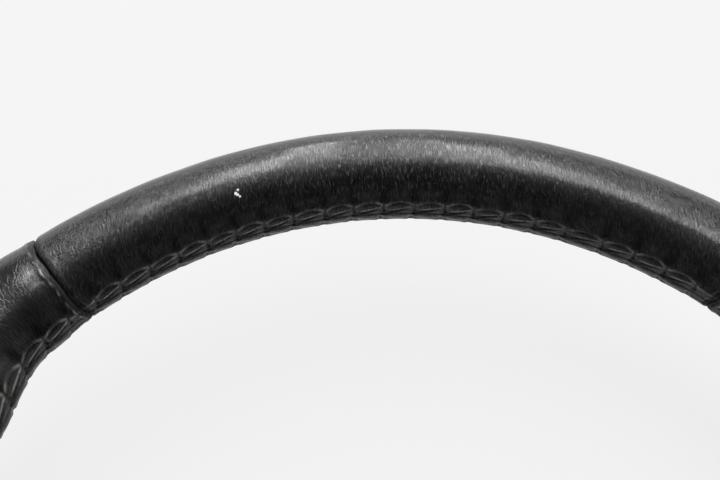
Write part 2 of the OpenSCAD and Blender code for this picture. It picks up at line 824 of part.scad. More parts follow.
module horn_pad() {
    field = 0.62;
    slope = 0.06;
    lug_reach = (pad_wall + housing_inset) / 2 - pad_wall;
    function dome(k) = pad_edge_z + pad_crown * (1 - k * k) + field_rise * ease((field + slope - k) / slope);
    function pad_ring(k, inset, z) = [for (p = pad_outline(inset)) [p[0] * k, p[1] * k, z]];
    top = [for (k = [0.04, 0.25, 0.44, 0.56, 0.62, 0.65, 0.68, 0.78, 0.88, 0.95]) [k, dome(k)]];
    edge = [[0.98, pad_edge_z - 0.4], [0.995, pad_edge_z - 1.8], [1, pad_edge_z - 4], [1, skirt_z]];
    inner_edge = [[1, skirt_z], [1, pad_edge_z - 4], [0.97, pad_edge_z - pad_wall]];
    inner_top = [for (k = [0.88, 0.78, 0.62, 0.4, 0.04]) [k, dome(k) - pad_wall]];
    color(black_plastic)
        union() {
            skin(concat(
                [for (e = concat(top, edge)) pad_ring(e[0], 0, e[1])],
                [for (e = concat(inner_edge, inner_top)) pad_ring(e[0], pad_wall, e[1])]
            ));
            for (f = LUGS, z = [lip_top + lip_gap, lip_top - sheet_t - lip_gap - lug_h])
                translate([pad_r(f) * cos(f), pad_r(f) * sin(f), z])
                    rotate([0, 0, pad_facing(f)])
                        translate([-pad_wall - lug_reach, -lug_w / 2, 0])
                            cube([lug_reach + pad_wall / 2, lug_w, lug_h]);
        }
}

// A sheet steel pan whose lip lies between the pad's lugs.
module airbag_housing()
    color(steel)
        translate([0, 0, housing_z])
            difference() {
                union() {
                    linear_extrude(housing_h) polygon(pad_outline(housing_inset));
                    translate([0, 0, housing_h - sheet_t])
                        linear_extrude(sheet_t)
                            polygon(pad_outline(pad_wall + lip_gap));
                }
                translate([0, 0, sheet_t])
                    linear_extrude(housing_h)
                        polygon(pad_outline(housing_inset + sheet_t));
                through(inflator_r + 2 * hole_play, sheet_t);
                at_each(STUDS) through(stud_r + hole_play, sheet_t);
                at_each(TOWERS) through(pin_r, sheet_t);
            }

module airbag_cushion() {
    room = 3;
    color(cloth)
        translate([0, 0, module_floor + sheet_t])
            difference() {
                linear_extrude(cushion_h) polygon(pad_outline(housing_inset + sheet_t + 1));
                translate([0, 0, -over])
                    cylinder(r = inflator_r + 1, h = inflator_high - 2 * sheet_t + room + over);
                at_each(TOWERS) translate([0, 0, -over]) cylinder(r = pin_r + room, h = room + over);
            }
}

module inflator() {
    low = 6;
    high = inflator_high;
    edge = 3;
    color(steel)
        translate([0, 0, housing_z - sheet_t])
            difference() {
                rotate_extrude()
                    polygon([
                        [0, -low], [inflator_r - edge, -low], [inflator_r, edge - low], [inflator_r, 0],
                        [inflator_flange_r, 0], [inflator_flange_r, sheet_t], [inflator_r, sheet_t],
                        [inflator_r, high - edge], [inflator_r - edge, high], [0, high]
                    ]);
                at_each(STUDS) through(stud_r + hole_play, sheet_t);
                translate([0, 0, -low - over]) cylinder(r = 2 * edge, h = edge + over);
            }
}

module retainer_ring() {
    stud_low = housing_z - sheet_t - nut_h - 1;
    color(steel)
        union() {
            translate([0, 0, module_floor])
                difference() {
                    cylinder(r = inflator_flange_r, h = sheet_t);
                    through(inflator_r + 2 * hole_play, sheet_t);
                }
            at_each(STUDS)
                translate([0, 0, stud_low]) cylinder(r = stud_r, h = module_floor + sheet_t / 2 - stud_low);
        }
}

module module_nuts()
    color(steel)
        at_each(STUDS)
            translate([0, 0, housing_z - sheet_t - nut_h])
                difference() {
                    cylinder(r = nut_r, h = nut_h, $fn = 6);
                    through(stud_r, nut_h);
                }

module guide_pins() {
    low = plate_z + 2;
    head = 2;
    color(steel)
        at_each(TOWERS)
            difference() {
                union() {
                    translate([0, 0, low]) cylinder(r = pin_r, h = module_floor - low);
                    translate([0, 0, module_floor]) cylinder(r = pin_r + head, h = head);
                }
                translate([0, 0, pin_stop_z - stop_gap - clip_t])
                    difference() {
                        cylinder(r = pin_r + over, h = clip_t);
                        through(pin_r - groove_d, clip_t);
                    }
            }
}

// Open clips that hold the pins under their bushes.
module pin_clips() {
    mouth = 2.8;
    color(steel)
        at_each(TOWERS)
            translate([0, 0, pin_stop_z - stop_gap - clip_t])
                difference() {
                    cylinder(r = pin_r + 2 * groove_d, h = clip_t);
                    through(pin_r - groove_d, clip_t);
                    translate([0, -mouth / 2, -over]) cube([2 * pin_r, mouth, clip_t + 2 * over]);
                }
}

module contact_plate()
    color(brass)
        translate([0, 0, contact_z])
            difference() {
                cylinder(r = tower_circle_r + spring_r, h = contact_t);
                through(tower_circle_r - spring_r, contact_t);
                at_each(TOWERS) through(pin_r, contact_t);
            }

armature();
hub_boss();
rim_foam();
leather_top();
leather_left_grip();
leather_right_grip();
leather_bottom();
lacing_top();
lacing_left();
lacing_right();
lacing_bottom();
left_spoke_cover();
right_spoke_cover();
lower_spoke_cover();
rear_cover();
rear_cover_screws();
guide_bushes();
contact_rivets();
horn_springs();
horn_pad();
airbag_housing();
airbag_cushion();
inflator();
retainer_ring();
module_nuts();
guide_pins();
pin_clips();
contact_plate();
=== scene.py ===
import math

import bmesh
import bpy
import numpy as np
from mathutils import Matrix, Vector


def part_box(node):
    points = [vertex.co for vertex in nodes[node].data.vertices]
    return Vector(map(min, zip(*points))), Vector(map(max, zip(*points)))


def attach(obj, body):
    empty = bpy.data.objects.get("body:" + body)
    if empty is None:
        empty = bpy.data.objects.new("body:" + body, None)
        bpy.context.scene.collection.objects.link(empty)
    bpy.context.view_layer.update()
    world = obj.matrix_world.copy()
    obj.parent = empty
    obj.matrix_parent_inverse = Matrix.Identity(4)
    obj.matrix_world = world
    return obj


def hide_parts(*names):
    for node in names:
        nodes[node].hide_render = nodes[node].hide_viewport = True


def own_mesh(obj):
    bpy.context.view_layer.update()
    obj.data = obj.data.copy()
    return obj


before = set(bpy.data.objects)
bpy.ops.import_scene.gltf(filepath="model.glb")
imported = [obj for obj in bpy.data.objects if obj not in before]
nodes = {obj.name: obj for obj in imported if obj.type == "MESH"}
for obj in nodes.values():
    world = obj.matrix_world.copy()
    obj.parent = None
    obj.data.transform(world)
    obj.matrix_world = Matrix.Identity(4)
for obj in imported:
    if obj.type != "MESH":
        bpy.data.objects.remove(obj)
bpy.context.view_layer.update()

# A leather-wrapped car steering wheel that lies face up, seen close to the top of its rim.
# Metres; +Z towards the driver, +Y to twelve o'clock. Clock angles start at twelve o'clock.

mm = 0.001


def addObject(name, data):
    obj = bpy.data.objects.new(name, data)
    bpy.context.collection.objects.link(obj)
    return obj


# Camera

camera = {
    "place": (-0.00026, -0.01502, 0.34367),
    "turn": (29.547, 2.2465, 0.0662),  # degrees about X, Y and Z
    "lens": 49.45,  # mm, forty degrees across the frame
    "frame": 36,
}


def placeCamera():
    data = bpy.data.cameras.new("rimCamera")
    data.lens = camera["lens"]
    data.sensor_width = camera["frame"]
    data.clip_start = 0.01
    obj = addObject("rimCamera", data)
    obj.location = camera["place"]
    obj.rotation_euler = [math.radians(v) for v in camera["turn"]]
    bpy.context.scene.camera = obj


placeCamera()
print("camera placed")


# Helpers for materials

def linear(hexColour):
    values = []
    for i in (1, 3, 5):
        c = int(hexColour[i:i + 2], 16) / 255
        values.append(c / 12.92 if c <= 0.04045 else ((c + 0.055) / 1.055) ** 2.4)
    return (*values, 1)


def feed(tree, node, inputs):
    # links a node's inputs or sets their values, where a colour is written #rrggbb
    for key, value in inputs.items():
        if isinstance(value, bpy.types.NodeSocket):
            tree.links.new(value, node.inputs[key])
        else:
            isColour = isinstance(value, str) and value.startswith("#")
            node.inputs[key].default_value = linear(value) if isColour else value
    return node


def addNode(tree, kind, inputs=None, **settings):
    made = tree.nodes.new(kind)
    for key, value in settings.items():
        setattr(made, key, value)
    return feed(tree, made, inputs or {})


def newMaterial(name, values):
    material = bpy.data.materials.new(name)
    material.use_nodes = True
    tree = material.node_tree
    return material, tree, feed(tree, tree.nodes["Principled BSDF"], values)


def work(tree, operation, *values):
    return addNode(tree, "ShaderNodeMath", dict(enumerate(values)), operation=operation).outputs[0]


def ramp(tree, value, given=(0, 1), wanted=(0, 1), kind="LINEAR"):
    # carries a value from one range to another
    return addNode(tree, "ShaderNodeMapRange", {
        "Value": value, "From Min": given[0], "From Max": given[1], "To Min": wanted[0], "To Max": wanted[1]},
        interpolation_type=kind).outputs[0]


def blend(tree, share, first, second):
    return addNode(tree, "ShaderNodeMix", {"Factor": share, 6: first, 7: second}, data_type="RGBA").outputs[2]


def noise(tree, place, scale, detail, **others):
    return addNode(tree, "ShaderNodeTexNoise", {
        "Vector": place, "Scale": scale, "Detail": detail, **others}).outputs[0]


def bumped(tree, height, distance, strength, **settings):
    return addNode(tree, "ShaderNodeBump", {
        "Height": height, "Distance": distance, "Strength": strength}, **settings).outputs[0]


def objectPlace(tree):
    return addNode(tree, "ShaderNodeTexCoord").outputs["Object"]


# The rim's form, as the frame has it

rim = {
    "ringRadius": 170,
    "tubeRadius": 15,
    "height": 62,
    "upperSeam": 39,  # clock angles of the cross seams
    "lowerSeam": 112,
    "gripRise": 1,
    "gripEase": 5,  # degrees
    "thumbRise": 9.5,
    "thumbAt": 58,
    "thumbSpan": 26,
    "thumbPower": 2.4,
}


def ease(t):
    t = np.clip(t, 0, 1)
    return t * t * (3 - 2 * t)


def hill(x, width):
    return np.exp(-(x / width) ** 2)


def rimRadius(a, f):
    grip = ease((abs(a) - rim["upperSeam"]) / rim["gripEase"]) * ease((rim["lowerSeam"] - abs(a)) / rim["gripEase"])
    far = abs(abs(a) - rim["thumbAt"]) / (rim["thumbSpan"] / 2)
    thumb = np.cos(np.minimum(far, 1) * math.pi / 2) ** 2
    side = ((1 - np.cos(np.radians(f))) / 2) ** rim["thumbPower"]
    return rim["tubeRadius"] + rim["gripRise"] * grip + rim["thumbRise"] * thumb * side


def rimPoint(a, f, lift):
    r = rimRadius(a, f) + lift
    p = rim["ringRadius"] + r * np.cos(np.radians(f))
    turn = np.radians(a)
    return mm * np.stack([p * np.sin(turn), p * np.cos(turn), rim["height"] + r * np.sin(np.radians(f))], axis=-1)


# Helpers for meshes

def meshObject(name, points, faces, sharp=40):
    mesh = bpy.data.meshes.new(name)
    mesh.from_pydata(np.asarray(points).tolist(), [], faces)
    mesh.shade_smooth()
    mesh.set_sharp_from_angle(angle=math.radians(sharp))
    mesh.update()
    return addObject(name, mesh)


def dress(obj, body, material, slot, *replaced):
    obj.data.materials.clear()
    obj.data.materials.append(material)
    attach(obj, body)
    if replaced:
        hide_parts(*replaced)
    return obj


def loft(loops):
    # quads between loops of equal length, and a cap at each end
    count, size = len(loops), len(loops[0])
    i, j = np.meshgrid(np.arange(count - 1) * size, np.arange(size), indexing="ij")
    k = (j + 1) % size
    faces = np.stack([i + j, i + k, i + size + k, i + size + j], axis=-1).reshape(-1, 4).tolist()
    faces.append(list(range(size - 1, -1, -1)))
    faces.append(list(range((count - 1) * size, count * size)))
    return np.concatenate(loops), faces


def outwards(obj):
    # turns a closed mesh's faces out
    shape = bmesh.new()
    shape.from_mesh(obj.data)
    bmesh.ops.recalc_face_normals(shape, faces=shape.faces)
    shape.to_mesh(obj.data)
    shape.free()
    return obj


def smoothCopy(name, nodeName):
    # the CAD solid with its loose triangles merged and its round faces smooth
    mesh = nodes[nodeName].data.copy()
    mesh.name = name
    shape = bmesh.new()
    shape.from_mesh(mesh)
    bmesh.ops.remove_doubles(shape, verts=shape.verts, dist=2e-6)
    shape.to_mesh(mesh)
    shape.free()
    mesh.shade_smooth()
    mesh.set_sharp_from_angle(angle=math.radians(35))
    return addObject(name, mesh)


# Leather: chrome-tanned cowhide, dyed through and sealed with a thin polyurethane finish.
# It gives a near-black skin with a soft sheen, fine creases round the tube, and paler crests and edges that are partly
# polished wear and partly painted highlight.

leather = {
    "dye": "#0c0c0d",
    "dyeFaded": "#151615",
    # paler paint for the folded edges, raised arms and lips: partly wear, partly painted highlight
    "edgeWornAndGlint": "#c8c9c2",
    # paler paint for the crests of the streaks: partly rubbed wear, partly painted glints
    "rubbedAndGlint": "#6c6d68",
    "bareFlesh": "#f8f7f2",
    "bareFleshPaintedGlow": 0.4,  # painted glow: the bare flesh emits light of its own, so that it shows brighter than the lamps make it
    "creaseSpacing": 0.95,  # mm along the rim
    "creaseLength": 7,  # mm round the tube
    "streakSpacing": 0.44,  # mm along the rim, for the pull of the hide round the tube
    "streakLength": 2.7,  # mm
    "grainSize": 0.75,  # mm
    "wrinkleSpacing": 1.5,  # mm, where the hide is bent
    "wrinkleLength": 10,  # mm
    "slant": 0.05,  # how far the creases lean, for each mm round the tube
    "endSlant": 0.42,  # what is added to that towards the right cross seam, and taken off towards the left one
    "endSlantReach": 75,  # mm along the rim
    "gripSlant": 0.5,  # the same on the grips, where the hand has pushed the hide
    "gripSlantFrom": (118, 146),  # mm along the rim
    "calmOutside": (28, 36),  # mm round the tube from the valley, where the streaks fade
    "calmGrips": (112, 126),  # mm along the rim, the same
    "rubAndGlintRound": (7, 22),  # mm round the tube, where the rubbing and the painted glints grow
    "rubAndGlintAlong": (10, 70),  # mm along the rim, where it fades
    "relief": (-0.2, 1.25, -0.32, -0.8, -1),  # of the grain, streaks, creases, wrinkles and nick
    "bumpDepth": 0.2 * mm,
    "fullness": 0.4,  # mm that the hide stands proud on the outer side, all along and more beside the cross seams
    "shoulder": 0.9,
    "highest": 0.48,  # mm that the relief may rise and sink, over foam that lies 1.5 mm below the face
    "lowest": -1.42,
    "innerFace": (-1.46, -1.37),  # mm, near the lacing and elsewhere
    "nearLacing": 34,  # degrees each side of the valley
}

# A nick that bares the hide's flesh: clock angle, section angle and radius in mm of each spot.
nick = [(-17.86, 112.4, 0.36), (-18.2, 116.0, 0.5), (-18.05, 118.2, 0.46), (-17.84, 121.0, 0.32)]

seam = {
    "valley": 183.5,  # section angle of the valley between the laced edges
    "pitch": 3.66,  # degrees from stitch to stitch
    "first": -1.2,  # clock angle of a stitch near twelve o'clock
    "topEnd": (25.4, 29.15, 33.0, 36.9),  # the wider stitches at the right end of the top panel
    "topEndFrom": 22,
    "margin": 1.1,  # degrees at each end of a panel that stay clear
    "jitter": 0.12,
    "backShift": 0.5,  # degrees that the back row of stitches lies behind the front row
    "notchReach": 3.8,  # mm from the valley to a stitch's notch
    "archReach": 6.4,  # mm from the valley to the top of the arch between two notches
    "armReach": 3.6,  # mm that the raised edges run away from a notch
    "hemFrom": 1.9,  # mm from the valley to the folded edge, at a stitch and at the next one
    "hemTo": 4.1,
    "step": 0.24,  # mm that the laced edge lies lower
    "puff": 0.26,  # mm high or deep, like the next five
    "ridge": 0.2,
    "hem": 0.14,
    "notch": 0.55,
    "pucker": 0.18,
    "valleyDepth": 0.3,
    "spokeHalf": 11.8,  # degrees each side of a spoke that stay unlaced
    # radius and depth in mm of a grip's end and of the other panels', where they turn into the cross seam
    "endRoll": (0.6, 1.1),
    "endDepth": (0.6, 0.95),
    # how far in mm the upper cross seams lie away from twelve o'clock, at each angle from the valley
    "bowAngles": (-40, -12, 0, 8, 15, 28, 45, 100, 118, 135, 165, 200),
    "bow": (0, 0, 0.6, 1.4, 2, 2.9, 3.2, 3.2, 2.6, 1.6, 0.4, 0),
    "bowFade": 24,  # mm
    "endGap": 0.03,  # degrees, half of what stays open of a cross seam
    "lipWander": 0.35,  # how unevenly the lips beside the cross seams run
    "seed": 4,
}

alongPerDegree = math.radians(155)  # mm along the laced seam for each degree of clock angle
roundPerDegree = math.radians(15)  # mm round the tube for each degree of section angle
spokeAngles = (93, -93, 180)

# A panel's mesh: columns along the rim and rows round the tube, and one inner face behind each cell of them.
grid = {
    "cell": 4,  # faces along each side of a cell
    "fineHalf": 32,  # degrees each side of the valley
    "fineRows": 56,
    "coarseRows": 76,
    "endLength": 4,  # mm
    "endColumns": 20,
}


def stitchRuns(low, high):
    # stitches along a panel, in one run for each stretch between spokes
    rng = np.random.default_rng(seam["seed"] + int(abs(low) * 10 + (low < 0)))
    first = math.ceil((low + seam["margin"] - seam["first"]) / seam["pitch"])
    last = math.floor((high - seam["margin"] - seam["first"]) / seam["pitch"])
    at = seam["first"] + seam["pitch"] * np.arange(first, last + 1)
    if low < 0 < high < 90:
        at = np.concatenate([at[at < seam["topEndFrom"]], seam["topEnd"]])
    at = at + rng.uniform(-seam["jitter"], seam["jitter"], len(at))
    for s in spokeAngles:
        at = at[abs(at - s) > seam["spokeHalf"]]
    breaks = np.flatnonzero(np.diff(at) > 2 * seam["pitch"]) + 1
    return [run for run in np.split(at, breaks) if len(run) > 1]


def spokeMask(a):
    clear = np.ones_like(a)
    for s in spokeAngles:
        clear = np.minimum(clear, ease((abs(a - s) - seam["spokeHalf"] + 1.6) / 1.6))
    return clear


def seamRelief(a, q, runs):
    # height in mm of the laced edges at clock angle a, q degrees from the valley, how much paler they are painted
    # (partly wear, partly painted highlight on the folded edges and raised arms) and how crinkled they are
    place = a + np.where(q < 0, seam["backShift"], 0)
    t, near = np.zeros_like(place), np.full_like(place, 9.0)
    reach, bold = np.ones_like(place), np.ones_like(place)
    rng = np.random.default_rng(seam["seed"] + 11)
    for run in runs:
        k = np.clip(np.searchsorted(run, place), 1, len(run) - 1)
        low, high = run[k - 1], run[k]
        inside = (place >= run[0]) & (place <= run[-1])
        t = np.where(inside, (place - low) / (high - low), t)
        reach = np.where(inside, rng.uniform(0.8, 1.12, len(run))[k], reach)
        bold = np.where(inside, rng.uniform(0.2, 1, len(run))[k], bold)
        near = np.minimum(near, np.minimum(abs(place - low), abs(place - high)))
    near = near * alongPerDegree
    across = abs(q) * roundPerDegree
    swell = np.sin(math.pi * np.clip(t, 0, 1) ** 1.15)
    arch = seam["notchReach"] + (seam["archReach"] - seam["notchReach"]) * reach * np.clip(swell, 0, 1) ** 0.6
    inward = arch - across
    flap = ease(inward / 0.9)
    bulge = swell * ease(inward / 1.6) * ease((across - 0.3) / 1.3)
    arm = ease((seam["armReach"] - near) / 2.6)
    ridge = hill(inward + 0.1, 0.42) * ease(near / 0.7) * (0.14 * bold + 0.86 * arm)
    hemAt = seam["hemFrom"] + (seam["hemTo"] - seam["hemFrom"]) * np.clip(t, 0, 1)
    hem = hill(across - hemAt, 0.3) * ease((t - 0.1) / 0.3) * ease((1 - t) / 0.22) * (0.25 + 0.75 * bold)
    notch = hill(near, 0.55) * ease((across - 1) / 1) * ease((seam["notchReach"] + 2.8 - across) / 2.4)
    pucker = hill(near, 1.1) * ease((across - 3) / 1.5) * ease((12 - across) / 6)
    valley = hill(across, 0.38)
    height = (seam["puff"] * bulge + seam["ridge"] * ridge + seam["hem"] * hem - seam["step"] * flap
              - seam["notch"] * notch - seam["pucker"] * pucker - seam["valleyDepth"] * valley)
    cheek = hill(near - 0.8, 0.3) * ease((across - 1.5) / 1) * ease((6.5 - across) / 2.5)
    # the folded edges, raised arms and notch rims are painted paler: partly wear, partly painted highlight
    wornAndGlint = 0.95 * ridge * (0.45 + 0.55 * bold) + 2.1 * hem + 0.15 * cheek
    pulled = hill(near, 1.9) * ease((across - 2.5) / 2) * ease((14 - across) / 5)
    return height, wornAndGlint, np.maximum(0.5 * ease((8 - across) / 3), 0.85 * pulled)


def panelColumns(low, high, step):
    # clock angles of a panel's columns, closest together at its two ends
    length = math.radians(high - low) * rim["ringRadius"]
    end, cell = grid["endLength"], grid["cell"]
    count = cell * round((length - 2 * end) / step / cell)
    along = np.concatenate([np.linspace(0, end, grid["endColumns"] + 1)[:-1], np.linspace(end, length - end, count + 1),
                            np.linspace(length - end, length, grid["endColumns"] + 1)[1:]])
    return low + np.degrees(along / rim["ringRadius"]), along, length


def panelRows():
    # degrees from the valley, fine across the lacing and coarser round the rest of the tube
    half = grid["fineHalf"]
    return np.concatenate([np.linspace(-half, half, grid["fineRows"] + 1)[:-1],
                           np.linspace(half, 360 - half, grid["coarseRows"] + 1)[:-1]])


def endShape(e, q, lip):
    # a panel's end rolls down into the cross seam, behind a lip that wanders a little and is painted paler along its
    # line, partly as wear and partly as painted highlight
    kind = 0 if lip > 0.3 else 1
    roll = seam["endRoll"][kind] + kind * ease((abs(q) - 90) / 40)
    turned = np.clip(roll - e, 0, roll)
    depth = seam["endDepth"][kind] * (0.35 + 0.65 * ease((abs(q) - 45) / 45))
    down = -np.minimum(roll - np.sqrt(roll ** 2 - turned ** 2), depth)
    wander = np.sin(np.radians(q * 5 + 40)) + 0.7 * np.sin(np.radians(q * 13 + 90)) + np.sin(np.radians(q * 23))
    wander = seam["lipWander"] * wander
    line = 1.9 + 0.6 * wander
    raised = lip * (0.3 + 0.4 * wander) * (hill(e - line, 0.8) - 0.3 * hill(e - 4.8, 1.6))
    # the lip's line is painted paler: partly wear, partly painted highlight
    wornAndGlint = np.clip(0.3 + 1.5 * wander, 0, 1) * hill(e - line, 0.3) + 0.07 * ease(e / 0.4) * ease((line - e) / 0.5)
    return down + raised, np.clip(1.9 * lip, 0, 0.9) * wornAndGlint


def slotCells(columns, slots):
    # first and last column and row of the cells that each arm passes through
    cell, half = grid["cell"], grid["fineHalf"]
    blocks = []
    for at, reach, *rows in slots:
        c0, c1 = (int(np.argmin(abs(columns - edge))) // cell for edge in (at - reach, at + reach))
        r0, r1 = (int(round((row + half) / (2 * half / grid["fineRows"]) / cell)) for row in rows)
        blocks.append((c0, c1, r0, r1))
    return blocks


def panelFaces(size, innerSize, blocks):
    # faces of a panel's outer side, its inner side and the walls between, with the column and row of each corner
    (nc, nr), (kc, kr) = size, innerSize
    cell = grid["cell"]
    faces, corners = [], []

    def put(outer, inner=()):
        faces.append([i * nr + j % nr for i, j in outer] + [nc * nr + i * kr + j % kr for i, j in inner])
        corners.extend(outer)
        corners.extend((i * cell, j * cell) for i, j in inner)

    def isCut(i, j):
        return any(c0 <= i < c1 and r0 <= j < r1 for c0, c1, r0, r1 in blocks)

    for i in range(nc - 1):
        for j in range(nr):
            if not isCut(i // cell, j // cell):
                put([(i, j), (i, j + 1), (i + 1, j + 1), (i + 1, j)])
    for i in range(kc - 1):
        for j in range(kr):
            if not isCut(i, j):
                put([], [(i, j), (i + 1, j), (i + 1, j + 1), (i, j + 1)])
    up, down = range(cell + 1), range(cell, -1, -1)
    for j in range(kr):
        put([(0, cell * j + k) for k in down], [(0, j), (0, j + 1)])
        put([(nc - 1, cell * j + k) for k in up], [(kc - 1, j + 1), (kc - 1, j)])
    for c0, c1, r0, r1 in blocks:
        for j in range(r0, r1):
            put([(cell * c0, cell * j + k) for k in up], [(c0, j + 1), (c0, j)])
            put([(cell * c1, cell * j + k) for k in down], [(c1, j), (c1, j + 1)])
        for i in range(c0, c1):
            put([(cell * i + k, cell * r0) for k in down], [(i, r0), (i + 1, r0)])
            put([(cell * i + k, cell * r1) for k in up], [(i + 1, r1), (i, r1)])
    return faces, corners


def leatherPanel(name, low, high, step, lips, slots, material, replaced):
    low, high = low + seam["endGap"], high - seam["endGap"]
    columns, along, length = panelColumns(low, high, step)
    rows = panelRows()
    a, q = np.meshgrid(columns, rows, indexing="ij")
    signed = np.where(q > 180, q - 360, q)
    e = np.meshgrid(along, rows, indexing="ij")[0]
    for end, away in ((low, e), (high, length - e)):
        if abs(abs(end) - rim["upperSeam"]) < 1:
            bow = np.interp(signed, seam["bowAngles"], seam["bow"]) + 0.12 * np.sin(np.radians(signed * 11))
            a = a + np.degrees(np.sign(end) * bow * ease(1 - away / seam["bowFade"]) / rim["ringRadius"])
    relief, wornAndGlint, band = seamRelief(a, signed, stitchRuns(low, high))
    laced = spokeMask(a)
    endLow, wearAndGlintLow = endShape(e, signed, lips[0])
    endHigh, wearAndGlintHigh = endShape(length - e, signed, lips[1])
    slack = 0.05 * np.sin(a * 0.9) * np.sin(np.radians(signed * 2 + a * 9))  # the hide never lies quite true
    lift = np.clip(relief * laced + endLow + endHigh + slack, leather["lowest"], leather["highest"])
    f = seam["valley"] - signed
    full = ease((abs(a) - 22) / 20) * ease((80 - abs(a)) / 14)
    lift = lift + (leather["fullness"] + leather["shoulder"] * full) * ease((np.cos(np.radians(f)) + 0.2) / 0.9)
    outer = rimPoint(a, f, lift)
    cell = grid["cell"]
    inner = rimPoint(a, f, np.where(abs(signed) < leather["nearLacing"], *leather["innerFace"]))[::cell, ::cell]
    faces, corners = panelFaces(a.shape, inner.shape[:2], slotCells(columns, slots))
    obj = meshObject(name, np.concatenate([outer.reshape(-1, 3), inner.reshape(-1, 3)]), faces, 60)

    # rimPlace: metres along the rim and round the tube, so that the grain follows the skin
    at = np.array(corners, int)
    u = np.radians(columns[at[:, 0]]) * rim["ringRadius"] * mm
    v = np.radians(np.append(rows, 360 - grid["fineHalf"])[at[:, 1]]) * rim["tubeRadius"] * mm
    layer = obj.data.uv_layers.new(name="rimPlace")
    layer.data.foreach_set("uv", np.stack([u, v], axis=-1).astype(np.float32).ravel())
    thumb = hill(abs(a) - rim["thumbAt"] + 3, 12) * ease((abs(signed) - 14) / 20) * ease((150 - abs(signed)) / 60)
    beside = 0.7 * ease((2.3 - e) / 0.9) + 0.7 * ease((2.3 - length + e) / 0.9)  # duller beside the cross seams
    crinkle = np.clip(band * laced + 0.2 * thumb * (abs(a) > 40) + beside, 0, 1)
    # paler paint of the edges and lips: partly wear, partly painted highlight
    wearAndGlint = np.clip(wornAndGlint * laced + wearAndGlintLow + wearAndGlintHigh, 0, 1)
    for key, field in (("crinkle", crinkle), ("wearAndGlint", wearAndGlint)):
        values = np.concatenate([field.ravel(), np.zeros(inner.size // 3)]).astype(np.float32)
        obj.data.attributes.new(key, "FLOAT", "POINT").data.foreach_set("value", values)
    obj.data.flip_normals()  # the cells run round the tube the other way
    dress(obj, "wheel", material, "black_leather", replaced)


def spotMask(tree, place):
    # one in the spots where the nick bares the hide, nought elsewhere
    ragged = noise(tree, place, 2.6, 3)
    total = 0
    for clock, section, radius in nick:
        centre = (math.radians(clock) * rim["ringRadius"],
                  math.radians(seam["valley"] - section) * rim["tubeRadius"], 0)
        far = addNode(tree, "ShaderNodeVectorMath", {0: place, 1: centre}, operation="DISTANCE").outputs["Value"]
        spot = ramp(tree, work(tree, "MULTIPLY_ADD", ragged, 0.5, far), (radius + 0.34, radius + 0.2))
        total = work(tree, "MAXIMUM", total, spot)
    return total


